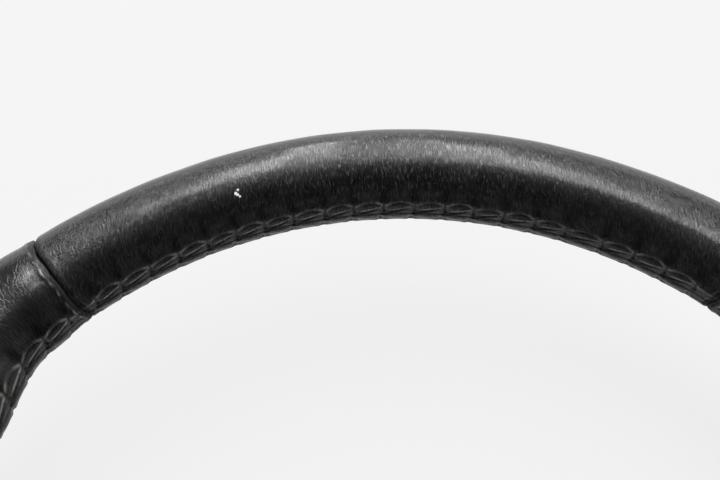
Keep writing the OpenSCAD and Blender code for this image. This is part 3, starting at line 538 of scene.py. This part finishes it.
def leatherMaterial():
    # the emission colour is the bare flesh's, for the painted glow of the nick
    material, tree, shader = newMaterial("finishedCowhide", {
        "IOR": 1.5, "Coat Roughness": 0.2, "Specular IOR Level": 0.5, "Coat Weight": 0.5,
        "Emission Color": leather["bareFlesh"]})

    def vectors(operation, *values):
        return addNode(tree, "ShaderNodeVectorMath", dict(enumerate(values)), operation=operation).outputs[0]

    metres = addNode(tree, "ShaderNodeUVMap", uv_map="rimPlace").outputs[0]
    place = addNode(tree, "ShaderNodeVectorMath", {0: metres, "Scale": 1000}, operation="SCALE").outputs[0]
    axes = addNode(tree, "ShaderNodeSeparateXYZ", {0: place}).outputs
    along = work(tree, "ABSOLUTE", axes["X"])
    drift = addNode(tree, "ShaderNodeTexNoise", {"Vector": place, "Scale": 0.28, "Detail": 3}).outputs["Color"]
    wavy = vectors("MULTIPLY_ADD", vectors("SUBTRACT", drift, (0.5, 0.5, 0.5)), (2.4, 2.4, 0), place)
    apart = addNode(tree, "ShaderNodeSeparateXYZ", {0: wavy}).outputs
    reach, lean, more = (leather[key] for key in ("endSlantReach", "slant", "endSlant"))
    slant = ramp(tree, apart["X"], (-reach, reach), (lean - more, lean + more))
    for side in (-1, 1):
        start, end = leather["gripSlantFrom"]
        pushed = ramp(tree, apart["X"], (start * side, end * side), (0, -side * leather["gripSlant"]), "SMOOTHSTEP")
        slant = work(tree, "ADD", pushed, slant)
    leant = work(tree, "MULTIPLY_ADD", apart["Y"], slant, apart["X"])
    bent = addNode(tree, "ShaderNodeCombineXYZ", {"X": leant, "Y": apart["Y"]}).outputs[0]

    def stretched(x, y):
        return vectors("MULTIPLY", bent, (1 / x, 1 / y, 0))

    crease = addNode(tree, "ShaderNodeTexVoronoi",
                     {"Vector": stretched(leather["creaseSpacing"], leather["creaseLength"]), "Scale": 1},
                     voronoi_dimensions="2D", feature="DISTANCE_TO_EDGE").outputs[0]
    grain = addNode(tree, "ShaderNodeTexVoronoi",
                    {"Vector": stretched(leather["grainSize"], leather["grainSize"] * 1.3), "Scale": 1,
                     "Smoothness": 0.6}, voronoi_dimensions="2D", feature="SMOOTH_F1").outputs[0]
    # the hide is stretched smooth on the outer side and held smooth on the grips
    loose = work(tree, "MULTIPLY", ramp(tree, axes["Y"], leather["calmOutside"], (1, 0.25), "SMOOTHSTEP"),
                 ramp(tree, along, leather["calmGrips"], (1, 0.3)))
    streak = noise(tree, stretched(leather["streakSpacing"], leather["streakLength"]), 1, 3, Roughness=0.6)
    streak = work(tree, "MULTIPLY_ADD", work(tree, "SUBTRACT", streak, 0.5), loose, 0.5)
    wrinkle = noise(tree, stretched(leather["wrinkleSpacing"], leather["wrinkleLength"]), 1, 2, Distortion=0.3)
    folded = work(tree, "ABSOLUTE", work(tree, "SUBTRACT", wrinkle, 0.5))
    patchy = ramp(tree, noise(tree, place, 0.09, 3), (0.32, 0.68))
    crinkle, wearAndGlint = (addNode(tree, "ShaderNodeAttribute", attribute_name=key).outputs["Fac"]
                     for key in ("crinkle", "wearAndGlint"))
    bare = spotMask(tree, place)

    creased = work(tree, "MULTIPLY", ramp(tree, crease, (0, 0.16), (1, 0), "SMOOTHSTEP"),
                   work(tree, "MULTIPLY_ADD", patchy, 0.55, 0.45))
    wrinkled = work(tree, "MULTIPLY", ramp(tree, folded, (0, 0.07), (1, 0), "SMOOTHSTEP"), crinkle)
    height = 1
    for field, rise in zip((grain, streak, creased, wrinkled, bare), leather["relief"]):
        height = work(tree, "MULTIPLY_ADD", field, rise, height)

    # the crests of the streaks are painted paler, partly as rubbed wear and partly as painted glints, most near twelve
    # o'clock and away from the lacing
    crest = ramp(tree, streak, (0.52, 0.68), kind="SMOOTHSTEP")
    rubAndGlintHere = work(tree, "MULTIPLY_ADD", patchy, 0.45, 0.5)
    rubAndGlintHere = work(tree, "MULTIPLY", rubAndGlintHere, ramp(tree, axes["Y"], leather["rubAndGlintRound"], (0.35, 1.15)))
    rubAndGlintHere = work(tree, "MULTIPLY", rubAndGlintHere, ramp(tree, along, leather["rubAndGlintAlong"], (1.3, 0.28)))
    colour = blend(tree, patchy, leather["dye"], leather["dyeFaded"])
    colour = blend(tree, work(tree, "MULTIPLY", crest, rubAndGlintHere), colour, leather["rubbedAndGlint"])
    # the edges and lips are painted paler: partly wear, partly painted highlight
    scuffedAndGlint = work(tree, "MULTIPLY", wearAndGlint, ramp(tree, streak, (0.36, 0.6), (0.4, 1)))
    colour = blend(tree, scuffedAndGlint, colour, leather["edgeWornAndGlint"])
    # the crests shine most, so that the sheen breaks up into strokes, and the bent hide is dull
    sheen = work(tree, "MULTIPLY", ramp(tree, streak, (0.36, 0.64), (0.34, 0.74)),
                 work(tree, "MULTIPLY_ADD", crinkle, -0.85, 1))
    dulled = work(tree, "MULTIPLY_ADD", crinkle, 0.16, ramp(tree, patchy, wanted=(0.22, 0.31)))
    feed(tree, shader, {
        "Base Color": blend(tree, bare, colour, leather["bareFlesh"]),
        "Specular IOR Level": sheen,
        "Coat Weight": sheen,
        "Roughness": work(tree, "MULTIPLY_ADD", bare, 0.4, dulled),
        # painted glow: the nick's bare flesh emits light of its own
        "Emission Strength": work(tree, "MULTIPLY", bare, leather["bareFleshPaintedGlow"]),
        "Normal": bumped(tree, height, leather["bumpDepth"], 1),
    })
    return material


# Each panel is given its two ends, the spacing of its columns in mm, the lip at each end, and slots for the arms:
# the arm's clock angle and half width, and the angles round the tube from the valley.
cowhide = leatherMaterial()
high, low = rim["upperSeam"], rim["lowerSeam"]
sides = {"top": (-high, high), "left": (-low, -high), "right": (high, low), "bottom": (low, 360 - low)}
slotRows = (-20, 11)
leatherPanel("topPanel", *sides["top"], 0.44, (0.12, 0.12), [], cowhide, "leather_top")
leatherPanel("leftGrip", *sides["left"], 0.5, (0.42, 0.5), [(-93, 8, *slotRows)], cowhide, "leather_left_grip")
leatherPanel("rightGrip", *sides["right"], 0.5, (0.5, 0.42), [(93, 8, *slotRows)], cowhide, "leather_right_grip")
leatherPanel("bottomPanel", *sides["bottom"], 0.8, (0.12, 0.12), [(180, 9.4, *slotRows)], cowhide, "leather_bottom")
print("leather panels made")


# Lacing: bonded polyester cord, two plies twisted together and waxed.
# It gives a dark cord with a satin gloss on each turn of its plies.

lacing = {
    "thickness": 0.85,  # mm over both plies
    "plyRadius": 0.23,  # shares of the thickness
    "plyOffset": 0.29,
    "turns": 8,  # turns of the plies along a stitch
    "points": 81,
    "sides": 6,
    "lengthPitches": 1.0,  # length of a stitch, in pitches
    "behind": 1.15,  # how far a stitch starts behind its notch, in pitches
    "backEnd": -3.2,  # degrees from the valley to a stitch's two ends
    "frontEnd": 13,
    "lift": 0.22,  # mm over the leather's face
    "dive": 1.1,  # mm that its ends go down
    "colour": "#0d0d0e",
    "lint": "#7c7d75",
}
cordInputs = {
    "Cord thickness": lacing["thickness"] * mm,
    "Turns": float(lacing["turns"]),
    "Dive": lacing["dive"] * mm,
}


def threadMaterial():
    material, tree, shader = newMaterial("waxedPolyesterCord", {"IOR": 1.5, "Specular IOR Level": 0.28})
    fibre = noise(tree, objectPlace(tree), 5000, 2)
    feed(tree, shader, {
        "Base Color": blend(tree, ramp(tree, fibre, (0.42, 0.66)), lacing["colour"], lacing["lint"]),
        "Roughness": ramp(tree, fibre, wanted=(0.34, 0.55)),
        "Normal": bumped(tree, fibre, 0.05 * mm, 0.6),
    })
    return material


def stitchTree(material):
    # a twisted two-ply stitch on each point, laid along "along" with "outward" up
    tree = bpy.data.node_groups.new("lacedStitches", "GeometryNodeTree")
    tree.interface.new_socket("Points", in_out="INPUT", socket_type="NodeSocketGeometry")
    for name, value in cordInputs.items():
        tree.interface.new_socket(name, in_out="INPUT", socket_type="NodeSocketFloat").default_value = value
    tree.interface.new_socket("Geometry", in_out="OUTPUT", socket_type="NodeSocketGeometry")

    def attribute(key, kind="FLOAT_VECTOR"):
        return addNode(tree, "GeometryNodeInputNamedAttribute", {"Name": key}, data_type=kind).outputs[0]

    given = addNode(tree, "NodeGroupInput").outputs
    line = addNode(tree, "GeometryNodeCurvePrimitiveLine", {"Start": (-0.5, 0, 0), "End": (0.5, 0, 0)})
    fine = addNode(tree, "GeometryNodeResampleCurve", {"Curve": line.outputs[0], "Count": lacing["points"]})
    factor = addNode(tree, "GeometryNodeSplineParameter").outputs["Factor"]
    # the ends go down as the sixth power of the distance from the middle
    middle = work(tree, "MULTIPLY_ADD", factor, 2, -1)
    down = work(tree, "MULTIPLY", work(tree, "POWER", middle, 6), given["Dive"])
    angle = work(tree, "MULTIPLY", work(tree, "MULTIPLY", factor, given["Turns"]), math.tau)
    radius = work(tree, "MULTIPLY", given["Cord thickness"], lacing["plyRadius"])
    offset = work(tree, "MULTIPLY", given["Cord thickness"], lacing["plyOffset"])
    section = addNode(tree, "GeometryNodeCurvePrimitiveCircle", {"Resolution": lacing["sides"], "Radius": radius})
    joined = addNode(tree, "GeometryNodeJoinGeometry")
    for start in (0, math.pi):
        turned = work(tree, "ADD", angle, start)
        y = work(tree, "MULTIPLY", work(tree, "SINE", turned), offset)
        z = work(tree, "SUBTRACT", work(tree, "MULTIPLY", work(tree, "COSINE", turned), offset), down)
        move = addNode(tree, "ShaderNodeCombineXYZ", {"Y": y, "Z": z}).outputs[0]
        coiled = addNode(tree, "GeometryNodeSetPosition", {"Geometry": fine.outputs[0], "Offset": move})
        strand = addNode(tree, "GeometryNodeCurveToMesh", {"Curve": coiled.outputs[0],
                         "Profile Curve": section.outputs[0], "Fill Caps": True})
        tree.links.new(strand.outputs[0], joined.inputs[0])
    smooth = addNode(tree, "GeometryNodeSetShadeSmooth", {"Geometry": joined.outputs[0]})
    turn = addNode(tree, "FunctionNodeAxesToRotation", {"Primary Axis": attribute("outward"),
                   "Secondary Axis": attribute("along")}, primary_axis="Z", secondary_axis="X").outputs[0]
    scale = addNode(tree, "ShaderNodeCombineXYZ", {"X": attribute("size", "FLOAT"), "Y": 1, "Z": 1}).outputs[0]
    placed = addNode(tree, "GeometryNodeInstanceOnPoints", {"Points": given["Points"], "Instance": smooth.outputs[0],
                     "Rotation": turn, "Scale": scale})
    real = addNode(tree, "GeometryNodeRealizeInstances", {"Geometry": placed.outputs[0]})
    coloured = addNode(tree, "GeometryNodeSetMaterial", {"Geometry": real.outputs[0], "Material": material})
    addNode(tree, "NodeGroupOutput", {"Geometry": coloured.outputs[0]})
    return tree


def applyTree(obj, tree, inputs):
    # runs a tree on an object and keeps the result as a plain mesh
    modifier = obj.modifiers.new(tree.name, "NODES")
    modifier.node_group = tree
    sockets = {s.name: s.identifier for s in tree.interface.items_tree if s.in_out == "INPUT"}
    for name, value in inputs.items():
        modifier[sockets[name]] = value
    done = bpy.data.meshes.new_from_object(obj.evaluated_get(bpy.context.evaluated_depsgraph_get()))
    obj.modifiers.clear()
    obj.data = done


def lacedStitches(name, low, high, tree, material, replaced):
    starts, ends = [], []
    for run in stitchRuns(low + seam["endGap"], high - seam["endGap"]):
        for before, here in zip(run[:-1], run[1:]):
            pitch = here - before
            starts.append((here - lacing["behind"] * pitch, lacing["backEnd"]))
            ends.append((here - (lacing["behind"] - lacing["lengthPitches"]) * pitch, lacing["frontEnd"]))

    def over(spots, lift):
        return rimPoint(spots[:, 0], seam["valley"] - spots[:, 1], np.full(len(spots), lift))

    start, end, lift = np.array(starts), np.array(ends), lacing["lift"]
    middle = (start + end) / 2
    centres = over(middle, lift)
    along = over(end, lift) - over(start, lift)
    length = np.linalg.norm(along, axis=1)
    along /= length[:, None]
    outward = centres - over(middle, lift - 1)
    outward -= (outward * along).sum(1)[:, None] * along
    outward /= np.linalg.norm(outward, axis=1)[:, None]
    obj = meshObject(name, centres, [])
    for key, kind, field, part in (("along", "FLOAT_VECTOR", along, "vector"),
                                   ("outward", "FLOAT_VECTOR", outward, "vector"), ("size", "FLOAT", length, "value")):
        made = obj.data.attributes.new(key, kind, "POINT")
        made.data.foreach_set(part, field.astype(np.float32).ravel())
    applyTree(obj, tree, cordInputs)
    dress(obj, "wheel", material, "waxed_thread", replaced)


waxedCord = threadMaterial()
stitches = stitchTree(waxedCord)
for side, (low, high) in sides.items():
    lacedStitches(f"{side}Lacing", low, high, stitches, waxedCord, f"lacing_{side}")
print("lacing made")


# Plastics, metals and foam

def grainedPlastic(name, base, fleck, cell, depth, roughness):
    # moulded plastic whose tool was etched: an even, fine cell pattern that spreads the highlights
    material, tree, shader = newMaterial(name, {"IOR": 1.52, "Specular IOR Level": 0.45})
    place = objectPlace(tree)
    cells = addNode(tree, "ShaderNodeTexVoronoi", {"Vector": place, "Scale": 1 / (cell * mm), "Smoothness": 0.5},
                    feature="SMOOTH_F1").outputs[0]
    height = work(tree, "MULTIPLY_ADD", noise(tree, place, 3 / (cell * mm), 2), 0.35, cells)
    handled = noise(tree, place, 22, 3)
    feed(tree, shader, {
        "Base Color": blend(tree, cells, base, fleck),
        "Roughness": ramp(tree, handled, (0.3, 0.7), (roughness - 0.05, roughness + 0.06)),
        "Normal": bumped(tree, height, depth * mm, 0.8, invert=True),
    })
    return material


def workedMetal(name, base, tint, roughness, pitch, depth, stretch=(1, 1, 1)):
    # a metal with fine tool marks or casting skin, and a slow change of tone
    material, tree, shader = newMaterial(name, {"Metallic": 1})
    place = objectPlace(tree)
    drawn = addNode(tree, "ShaderNodeVectorMath", {0: place, 1: stretch}, operation="MULTIPLY").outputs[0]
    marks = noise(tree, drawn, 1 / (pitch * mm), 3)
    feed(tree, shader, {
        "Base Color": blend(tree, noise(tree, place, 60, 3), base, tint),
        "Roughness": ramp(tree, marks, (0.3, 0.7), (roughness - 0.07, roughness + 0.08)),
        "Normal": bumped(tree, marks, depth * mm, 0.7),
    })
    return material


padSkin = grainedPlastic("mouldedPadSkin", "#1a1a1c", "#202022", 0.9, 0.09, 0.5)
coverPlastic = grainedPlastic("etchedBackCoverPlastic", "#19191a", "#1f1f20", 0.6, 0.06, 0.55)
spokePaint = grainedPlastic("satinPaintedSpokePlastic", "#2b2c2f", "#303134", 0.25, 0.008, 0.34)
castMagnesium = workedMetal("dieCastMagnesium", "#b4b5b6", "#9b9c9d", 0.5, 0.5, 0.05)
turnedSteel = workedMetal("turnedSteel", "#a8abad", "#96999b", 0.3, 0.12, 0.01, (1, 1, 8))
zincSteel = workedMetal("zincPlatedSteel", "#c3c5c6", "#b0afa4", 0.34, 0.3, 0.01)
springSteel = workedMetal("drawnSpringSteel", "#8d8f92", "#7a7c80", 0.3, 0.1, 0.006)
stampedBrass = workedMetal("stampedBrass", "#d8b46a", "#c49c50", 0.3, 0.25, 0.01)
acetal = grainedPlastic("naturalAcetal", "#d9d5ca", "#e2dfd5", 0.5, 0.01, 0.38)
foamSkin = grainedPlastic("polyurethaneFoamSkin", "#3c3c3d", "#333334", 0.8, 0.12, 0.75)


def bagClothMaterial():
    # plain-woven nylon: a fine checked weave with a dull sheen
    material, tree, shader = newMaterial("wovenNylonBagCloth", {
        "Roughness": 0.75, "Sheen Weight": 0.3, "Sheen Roughness": 0.5, "Specular IOR Level": 0.3})
    yarn = 0.9 * mm
    warp, weft = (addNode(tree, "ShaderNodeTexWave", {"Vector": objectPlace(tree), "Scale": 1 / yarn / math.tau},
                          bands_direction=way).outputs["Fac"] for way in "XY")
    weave = work(tree, "MULTIPLY", warp, weft)
    feed(tree, shader, {
        "Base Color": blend(tree, weave, "#b9b09a", "#dcd5c2"),
        "Normal": bumped(tree, weave, 0.12 * mm, 0.8),
    })
    return material


finishes = {
    "armature": castMagnesium,
    "hub_boss": turnedSteel,
    "rear_cover_screws": zincSteel,
    "guide_bushes": acetal,
    "contact_rivets": stampedBrass,
    "airbag_housing": zincSteel,
    "inflator": zincSteel,
    "retainer_ring": zincSteel,
    "module_nuts": zincSteel,
    "guide_pins": turnedSteel,
    "pin_clips": springSteel,
    "contact_plate": stampedBrass,
}
for nodeName, finish in finishes.items():
    data = nodes[nodeName].data
    data.materials.clear()
    data.materials.append(finish)
print("metal parts finished")


# Horn springs: closed at both ends, and pressed shorter with the pad

spring = {
    # mm and degrees
    "circle": 43,  # from the axis to each spring's own
    "angles": (34, 146, -90),
    "outerRadius": 6,
    "wire": 1.3,
    "turns": 4,
    "travel": 2.5,
    "perTurn": 24,
    "sides": 10,
}


def makeSprings():
    (_, _, low), (_, _, high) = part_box("horn_springs")
    wire = spring["wire"] / 2
    reach = spring["outerRadius"] - wire
    count = spring["turns"] * spring["perTurn"] + 1
    turn = np.arange(count) * math.tau / spring["perTurn"]
    height = low / mm + wire + (high / mm - low / mm - 2 * wire) * ease(np.linspace(0, 1, count))
    ringAngle = np.arange(spring["sides"]) * math.tau / spring["sides"]
    out = reach + wire * np.cos(ringAngle)
    points, faces = [], []
    for angle in spring["angles"]:
        clock = math.radians(angle)
        middle = spring["circle"] * np.array([math.cos(clock), math.sin(clock), 0])
        loops = [mm * (middle + np.stack([out * math.cos(t), out * math.sin(t), h + wire * np.sin(ringAngle)], axis=-1))
                 for t, h in zip(turn, height)]
        coil, quads = loft(loops)
        first = sum(len(p) for p in points)
        faces += [[v + first for v in face] for face in quads]
        points.append(coil)
    obj = outwards(meshObject("hornSprings", np.concatenate(points), faces, 50))
    dress(obj, "wheel", springSteel, "spring_steel", "horn_springs")
    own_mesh(obj)


makeSprings()
print("horn springs made")


# Horn pad: one soft moulding, crowned, with a raised field in its middle

pad = {
    "halfWidth": 76,
    "halfHeight": 64,
    "taper": 0.14,
    "power": 2.9,
    "edgeHeight": 64.5,
    "crown": 6,
    "fieldRise": 1.2,
    "field": 0.62,
    "fieldSlope": 0.06,
    "turnIn": 0.95,
    "turnDepth": 4,
    "wall": 3,
    "skirt": 51,
    "around": 240,
}


def ringOf(r, f, z):
    return mm * np.stack([r * np.cos(f), r * np.sin(f), np.broadcast_to(z, f.shape)], axis=-1)


def padReach(f):
    # mm from the middle to the pad's outline at an angle
    power = pad["power"]
    width = pad["halfWidth"] * (1 + pad["taper"] * np.sin(f))
    return ((abs(np.cos(f)) / width) ** power + (abs(np.sin(f)) / pad["halfHeight"]) ** power) ** (-1 / power)


def padRing(k, inset, z):
    f = np.linspace(0, math.tau, pad["around"], endpoint=False)
    return ringOf((padReach(f) - inset) * k, f, z)


def padDome(k):
    field = pad["fieldRise"] * ease((pad["field"] + pad["fieldSlope"] - k) / pad["fieldSlope"])
    return pad["edgeHeight"] + pad["crown"] * (1 - k * k) + field


def makePad():
    # rings of the outer and the inner side: share of the outline, and height
    wall, edge, turnIn = pad["wall"], pad["edgeHeight"], pad["turnIn"]
    shares = np.concatenate([[0.01], np.linspace(0.05, 0.6, 12), np.linspace(0.615, 0.69, 14),
                             np.linspace(0.72, turnIn, 9)])
    outer = [(k, padDome(k)) for k in shares]
    high, low = padDome(turnIn), edge - pad["turnDepth"]
    for turn in np.linspace(0.12, 1, 12) * math.pi / 2:  # the rounded edge
        outer.append((turnIn + (1 - turnIn) * math.sin(turn), low + (high - low) * math.cos(turn)))
    outer += [(1, pad["skirt"] + 0.5), (0.9965, pad["skirt"])]
    inner = [(1, pad["skirt"]), (1, low), (0.97, edge - wall)]
    inner += [(k, padDome(k) - wall) for k in (0.88, 0.78, 0.68, 0.62, 0.4, 0.05)]
    loops = [padRing(k, 0, z) for k, z in outer] + [padRing(k, wall, z) for k, z in inner]
    points, faces = loft(loops)
    return outwards(meshObject("padShell", points, faces, 38))


lugs = {
    "at": (0, 62, 118, 180, 236, 304),
    "width": 10,
    "height": 1.5,
    "lipTop": 55.3,
    "sheet": 1.5,
    "gap": 0.3,
    "housingInset": 6,
    "spread": 0.035,  # radians each side, between which the skirt's slope is taken
}


def makeLugs():
    # short lugs inside the skirt, above and below the housing's lip
    points, faces = [], []
    reach = (pad["wall"] + lugs["housingInset"]) / 2 - pad["wall"]
    for degrees in lugs["at"]:
        f, d = math.radians(degrees), lugs["spread"]
        ahead, behind = padReach(f + d), padReach(f - d)
        dx = ahead * math.cos(f + d) - behind * math.cos(f - d)
        dy = ahead * math.sin(f + d) - behind * math.sin(f - d)
        face = math.atan2(-dx, dy)
        r = padReach(f)
        for z in (lugs["lipTop"] + lugs["gap"], lugs["lipTop"] - lugs["sheet"] - lugs["gap"] - lugs["height"]):
            first = len(points)
            for x in (-pad["wall"] - reach, -pad["wall"] / 2):
                for y in (-lugs["width"] / 2, lugs["width"] / 2):
                    for h in (0, lugs["height"]):
                        points.append((mm * (r * math.cos(f) + x * math.cos(face) - y * math.sin(face)),
                                       mm * (r * math.sin(f) + x * math.sin(face) + y * math.cos(face)), mm * (z + h)))
            for quad in ((0, 1, 3, 2), (4, 6, 7, 5), (0, 4, 5, 1), (2, 3, 7, 6), (0, 2, 6, 4), (1, 5, 7, 3)):
                faces.append([first + v for v in quad])
    return outwards(meshObject("padLugs", points, faces))


dress(makePad(), "horn_module", padSkin, "pad_plastic", "horn_pad")
dress(makeLugs(), "horn_module", padSkin, "pad_plastic")
print("horn pad made")


# Spoke covers: painted mouldings that flare into the rim and end along the leather

spoke = {
    "drop": 8,
    "sideHalf": 24,
    "lowerHalf": 28,
    "flare": 6,
    "frontAtPad": 62,
    "frontAtRim": 67,
    "jointAtPad": 47,
    "jointAtRim": 60,
    "jointGap": 0.6,
    "padGap": 1.3,
    "seatGap": 0.4,
    "wall": 2.5,
    "steps": 28,
    "across": 44,
}


def coverSurface(turn, drop, half, extra, t, v, inset):
    # a point of a spoke cover: t from the pad to the rim, v across it from side to side
    rise = abs(np.sin(v)) ** 0.5
    width = half + spoke["flare"] * t ** 3
    halfHere = half + (width - half) * np.minimum(1, 2 * rise) - inset
    y = halfHere * np.sign(np.cos(v)) * abs(np.cos(v)) ** 0.5
    side = drop + y
    s = np.full_like(y, 60.0)
    for i in range(6):
        f = turn + np.arctan2(side, s)
        s = np.sqrt(padReach(f) ** 2 - side ** 2)
    tip = spoke["jointAtRim"] + spoke["jointGap"]
    tip = tip + (spoke["frontAtRim"] - inset - tip) * rise
    tube = np.sqrt((rim["tubeRadius"] + extra) ** 2 - (tip - rim["height"]) ** 2)
    end = np.sqrt((rim["ringRadius"] - tube - spoke["seatGap"]) ** 2 - side ** 2)
    s = s + spoke["padGap"] + (end - s - spoke["padGap"]) * t
    reach = np.sqrt(s ** 2 + side ** 2)
    last = rim["ringRadius"] - rim["tubeRadius"] - rim["gripRise"] - spoke["seatGap"]
    first = pad["halfWidth"] + (last - pad["halfWidth"]) / 6
    way = np.clip((reach - first) / (last - first), 0, 1)
    low = spoke["jointAtPad"] + (spoke["jointAtRim"] - spoke["jointAtPad"]) * way + spoke["jointGap"]
    front = spoke["frontAtPad"] + (spoke["frontAtRim"] - spoke["frontAtPad"]) * t * t - inset
    z = low + (front - low) * rise
    c, n = math.cos(turn), math.sin(turn)
    return mm * np.stack([s * c - side * n, s * n + side * c, z], axis=-1)


def makeSpokeCover(name, turn, drop, half, extra, nodeName):
    v = np.linspace(0, math.pi, spoke["across"] + 1)
    v = math.pi * (0.5 - 0.5 * np.cos(v))  # closer together at the sides, where the section turns
    v[-1] = math.pi
    loops = []
    for i in range(spoke["steps"] + 1):
        t = i / spoke["steps"]
        loops.append(np.concatenate([coverSurface(turn, drop, half, extra, t, v, 0),
                                     coverSurface(turn, drop, half, extra, t, v[::-1], spoke["wall"])]))
    points, faces = loft(loops)
    del faces[-2:]  # each end is a strip of quads instead of one flat cap
    size = len(loops[0])
    last = spoke["steps"] * size
    for j in range(spoke["across"]):
        quad = [j, j + 1, size - 2 - j, size - 1 - j]
        faces.append(quad)
        faces.append([last + q for q in reversed(quad)])
    dress(outwards(meshObject(name, points, faces, 50)), "wheel", spokePaint, "spoke_plastic", nodeName)


makeSpokeCover("rightSpokeShell", 0, -spoke["drop"], spoke["sideHalf"], rim["gripRise"], "right_spoke_cover")
makeSpokeCover("leftSpokeShell", math.pi, spoke["drop"], spoke["sideHalf"], rim["gripRise"], "left_spoke_cover")
makeSpokeCover("lowerSpokeShell", -math.pi / 2, 0, spoke["lowerHalf"], 0, "lower_spoke_cover")
print("spoke covers made")


# Back cover and foam keep the frame's solids, with their faces smoothed

dress(smoothCopy("backCover", "rear_cover"), "wheel", coverPlastic, "grained_plastic", "rear_cover")
foam = dress(smoothCopy("rimFoam", "rim_foam"), "wheel", foamSkin, "moulded_foam", "rim_foam")


# Airbag cushion: woven cloth folded into a flat pack, with its layers showing at the sides

cushion = {
    "floor": 46.3,
    "height": 14,
    "inset": 8.6,
    "layers": 6,
    "cavityRadius": 28.2,
    "cavityHeight": 12.2,
    "around": 160,
}


def makeCushion():
    f = np.linspace(0, math.tau, cushion["around"], endpoint=False)
    outline = padReach(f) - cushion["inset"]
    floor, tall = cushion["floor"], cushion["height"]
    cavity, roof = cushion["cavityRadius"], floor + cushion["cavityHeight"]
    loops = [ringOf(cavity * k, f, z) for k, z in ((0.05, roof), (0.92, roof), (1, roof - 1), (1, floor))]
    for t in np.linspace(0, 1, cushion["layers"] * 8 + 1):
        bulge = 1.5 * abs(math.sin(t * math.pi * cushion["layers"])) ** 0.6 - 1.2 * abs(2 * t - 1) ** 6
        loops.append(ringOf(outline - 1.6 + bulge, f, floor + 0.36 + (tall - 2) * t))
    for k in np.linspace(0.96, 0.02, 26):
        crown = 1.4 * (1 - k ** 4)
        fold = 0.35 * np.sin(18 * k + 1.2 * np.cos(2 * f))
        loops.append(ringOf((outline - 1.6) * k, f, floor + tall - 1.8 + crown + fold * ease((1 - k) * 8)))
    points, faces = loft(loops)
    return outwards(meshObject("foldedCushion", points, faces, 60))


pack = dress(makeCushion(), "horn_module", bagClothMaterial(), "bag_cloth", "airbag_cushion")
print("soft parts made")


# Floor and light

studio = {
    "floor": "#f4f4f3",
    "floorRadius": 3,
    "floorSides": 96,
    "floorLevel": -0.2 * mm,
    "floorGlow": 0.945,  # how bright the paper shows to the camera
    "floorGlowShare": 0.85,  # the rest of it shows the light and shade that fall on it
    "ceiling": 0.33,
    "walls": 1.3,
    "nearSide": 0.14,  # how bright the room is on the near side, against the far side
    "backdrop": 0.93,  # how bright the room shows to the camera
    "backdropTint": (0.98, 1, 1, 1),
    # diffusing panels on the left and on the right, the outermost of them the shortest and dimmest:
    # from and to in x, lowest and highest elevation in degrees, and watts for each square metre
    "panels": [
        (-0.225, -0.175, 46, 69, 44),
        (-0.175, -0.122, 20, 76, 64),
        (0.04, 0.10, 26, 84, 27),
        (0.10, 0.175, 38, 90, 34),
        (0.175, 0.24, 56, 81, 18),
    ],
    "panelAway": 1,
    "aim": (0.165, 0.07),  # y and z of the rim's top, which all the panels face
}


def seenRays(tree):
    # one for what the camera sees, straight or through glass
    rays = addNode(tree, "ShaderNodeLightPath").outputs
    return work(tree, "MAXIMUM", rays["Is Camera Ray"], rays["Is Transmission Ray"])


def makeFloor():
    size, count = studio["floorRadius"], studio["floorSides"]
    turn = np.linspace(0, math.tau, count, endpoint=False)
    points = np.stack([size * np.cos(turn), size * np.sin(turn), np.full(count, studio["floorLevel"])], axis=-1)
    floor = meshObject("paperFloor", points, [list(range(count))])
    material = bpy.data.materials.new("matteBackgroundPaper")
    material.use_nodes = True
    tree = material.node_tree
    tree.nodes.clear()
    lit = addNode(tree, "ShaderNodeBsdfDiffuse", {"Color": studio["floor"], "Roughness": 0.5})
    level = studio["floorGlow"]
    glow = addNode(tree, "ShaderNodeEmission", {"Color": (level, level, level, 1)})
    share = work(tree, "MULTIPLY", seenRays(tree), studio["floorGlowShare"])
    both = addNode(tree, "ShaderNodeMixShader", {0: share, 1: lit.outputs[0], 2: glow.outputs[0]})
    addNode(tree, "ShaderNodeOutputMaterial", {"Surface": both.outputs[0]})
    floor.data.materials.append(material)


def makeLight():
    world = bpy.data.worlds.new("softRoom")
    bpy.context.scene.world = world
    world.use_nodes = True
    # pale walls on the far side under a darker ceiling, and plain pale to the camera
    tree = world.node_tree
    direction = addNode(tree, "ShaderNodeTexCoord").outputs["Generated"]
    apart = addNode(tree, "ShaderNodeSeparateXYZ", {0: direction}).outputs
    level = work(tree, "MULTIPLY",
                 ramp(tree, apart["Z"], (0.02, 0.4), (studio["walls"], studio["ceiling"]), "SMOOTHSTEP"),
                 ramp(tree, apart["Y"], (-0.6, 0.2), (studio["nearSide"], 1), "SMOOTHSTEP"))
    toCamera = addNode(tree, "ShaderNodeLightPath").outputs["Is Camera Ray"]
    shown = addNode(tree, "ShaderNodeMix", {0: toCamera, 2: level, 3: studio["backdrop"]}, data_type="FLOAT")
    feed(tree, tree.nodes["Background"], {"Strength": shown.outputs[0], "Color": studio["backdropTint"]})
    for i, (left, right, lowest, highest, power) in enumerate(studio["panels"]):
        data = bpy.data.lights.new(f"panel{i + 1}", "AREA")
        data.shape = "RECTANGLE"
        data.size = right - left
        data.size_y = 2 * studio["panelAway"] * math.tan(math.radians(highest - lowest) / 2)
        data.energy = power * data.size * data.size_y
        lamp = addObject(f"panel{i + 1}", data)
        rise = math.radians(lowest + highest) / 2
        aim = Vector(((left + right) / 2, *studio["aim"]))
        lamp.location = aim + studio["panelAway"] * Vector((0, math.cos(rise), math.sin(rise)))
        lamp.rotation_euler = (aim - lamp.location).to_track_quat("-Z", "Y").to_euler()


makeFloor()
makeLight()
bpy.context.scene.view_settings.view_transform = "Standard"
print("floor and light set")
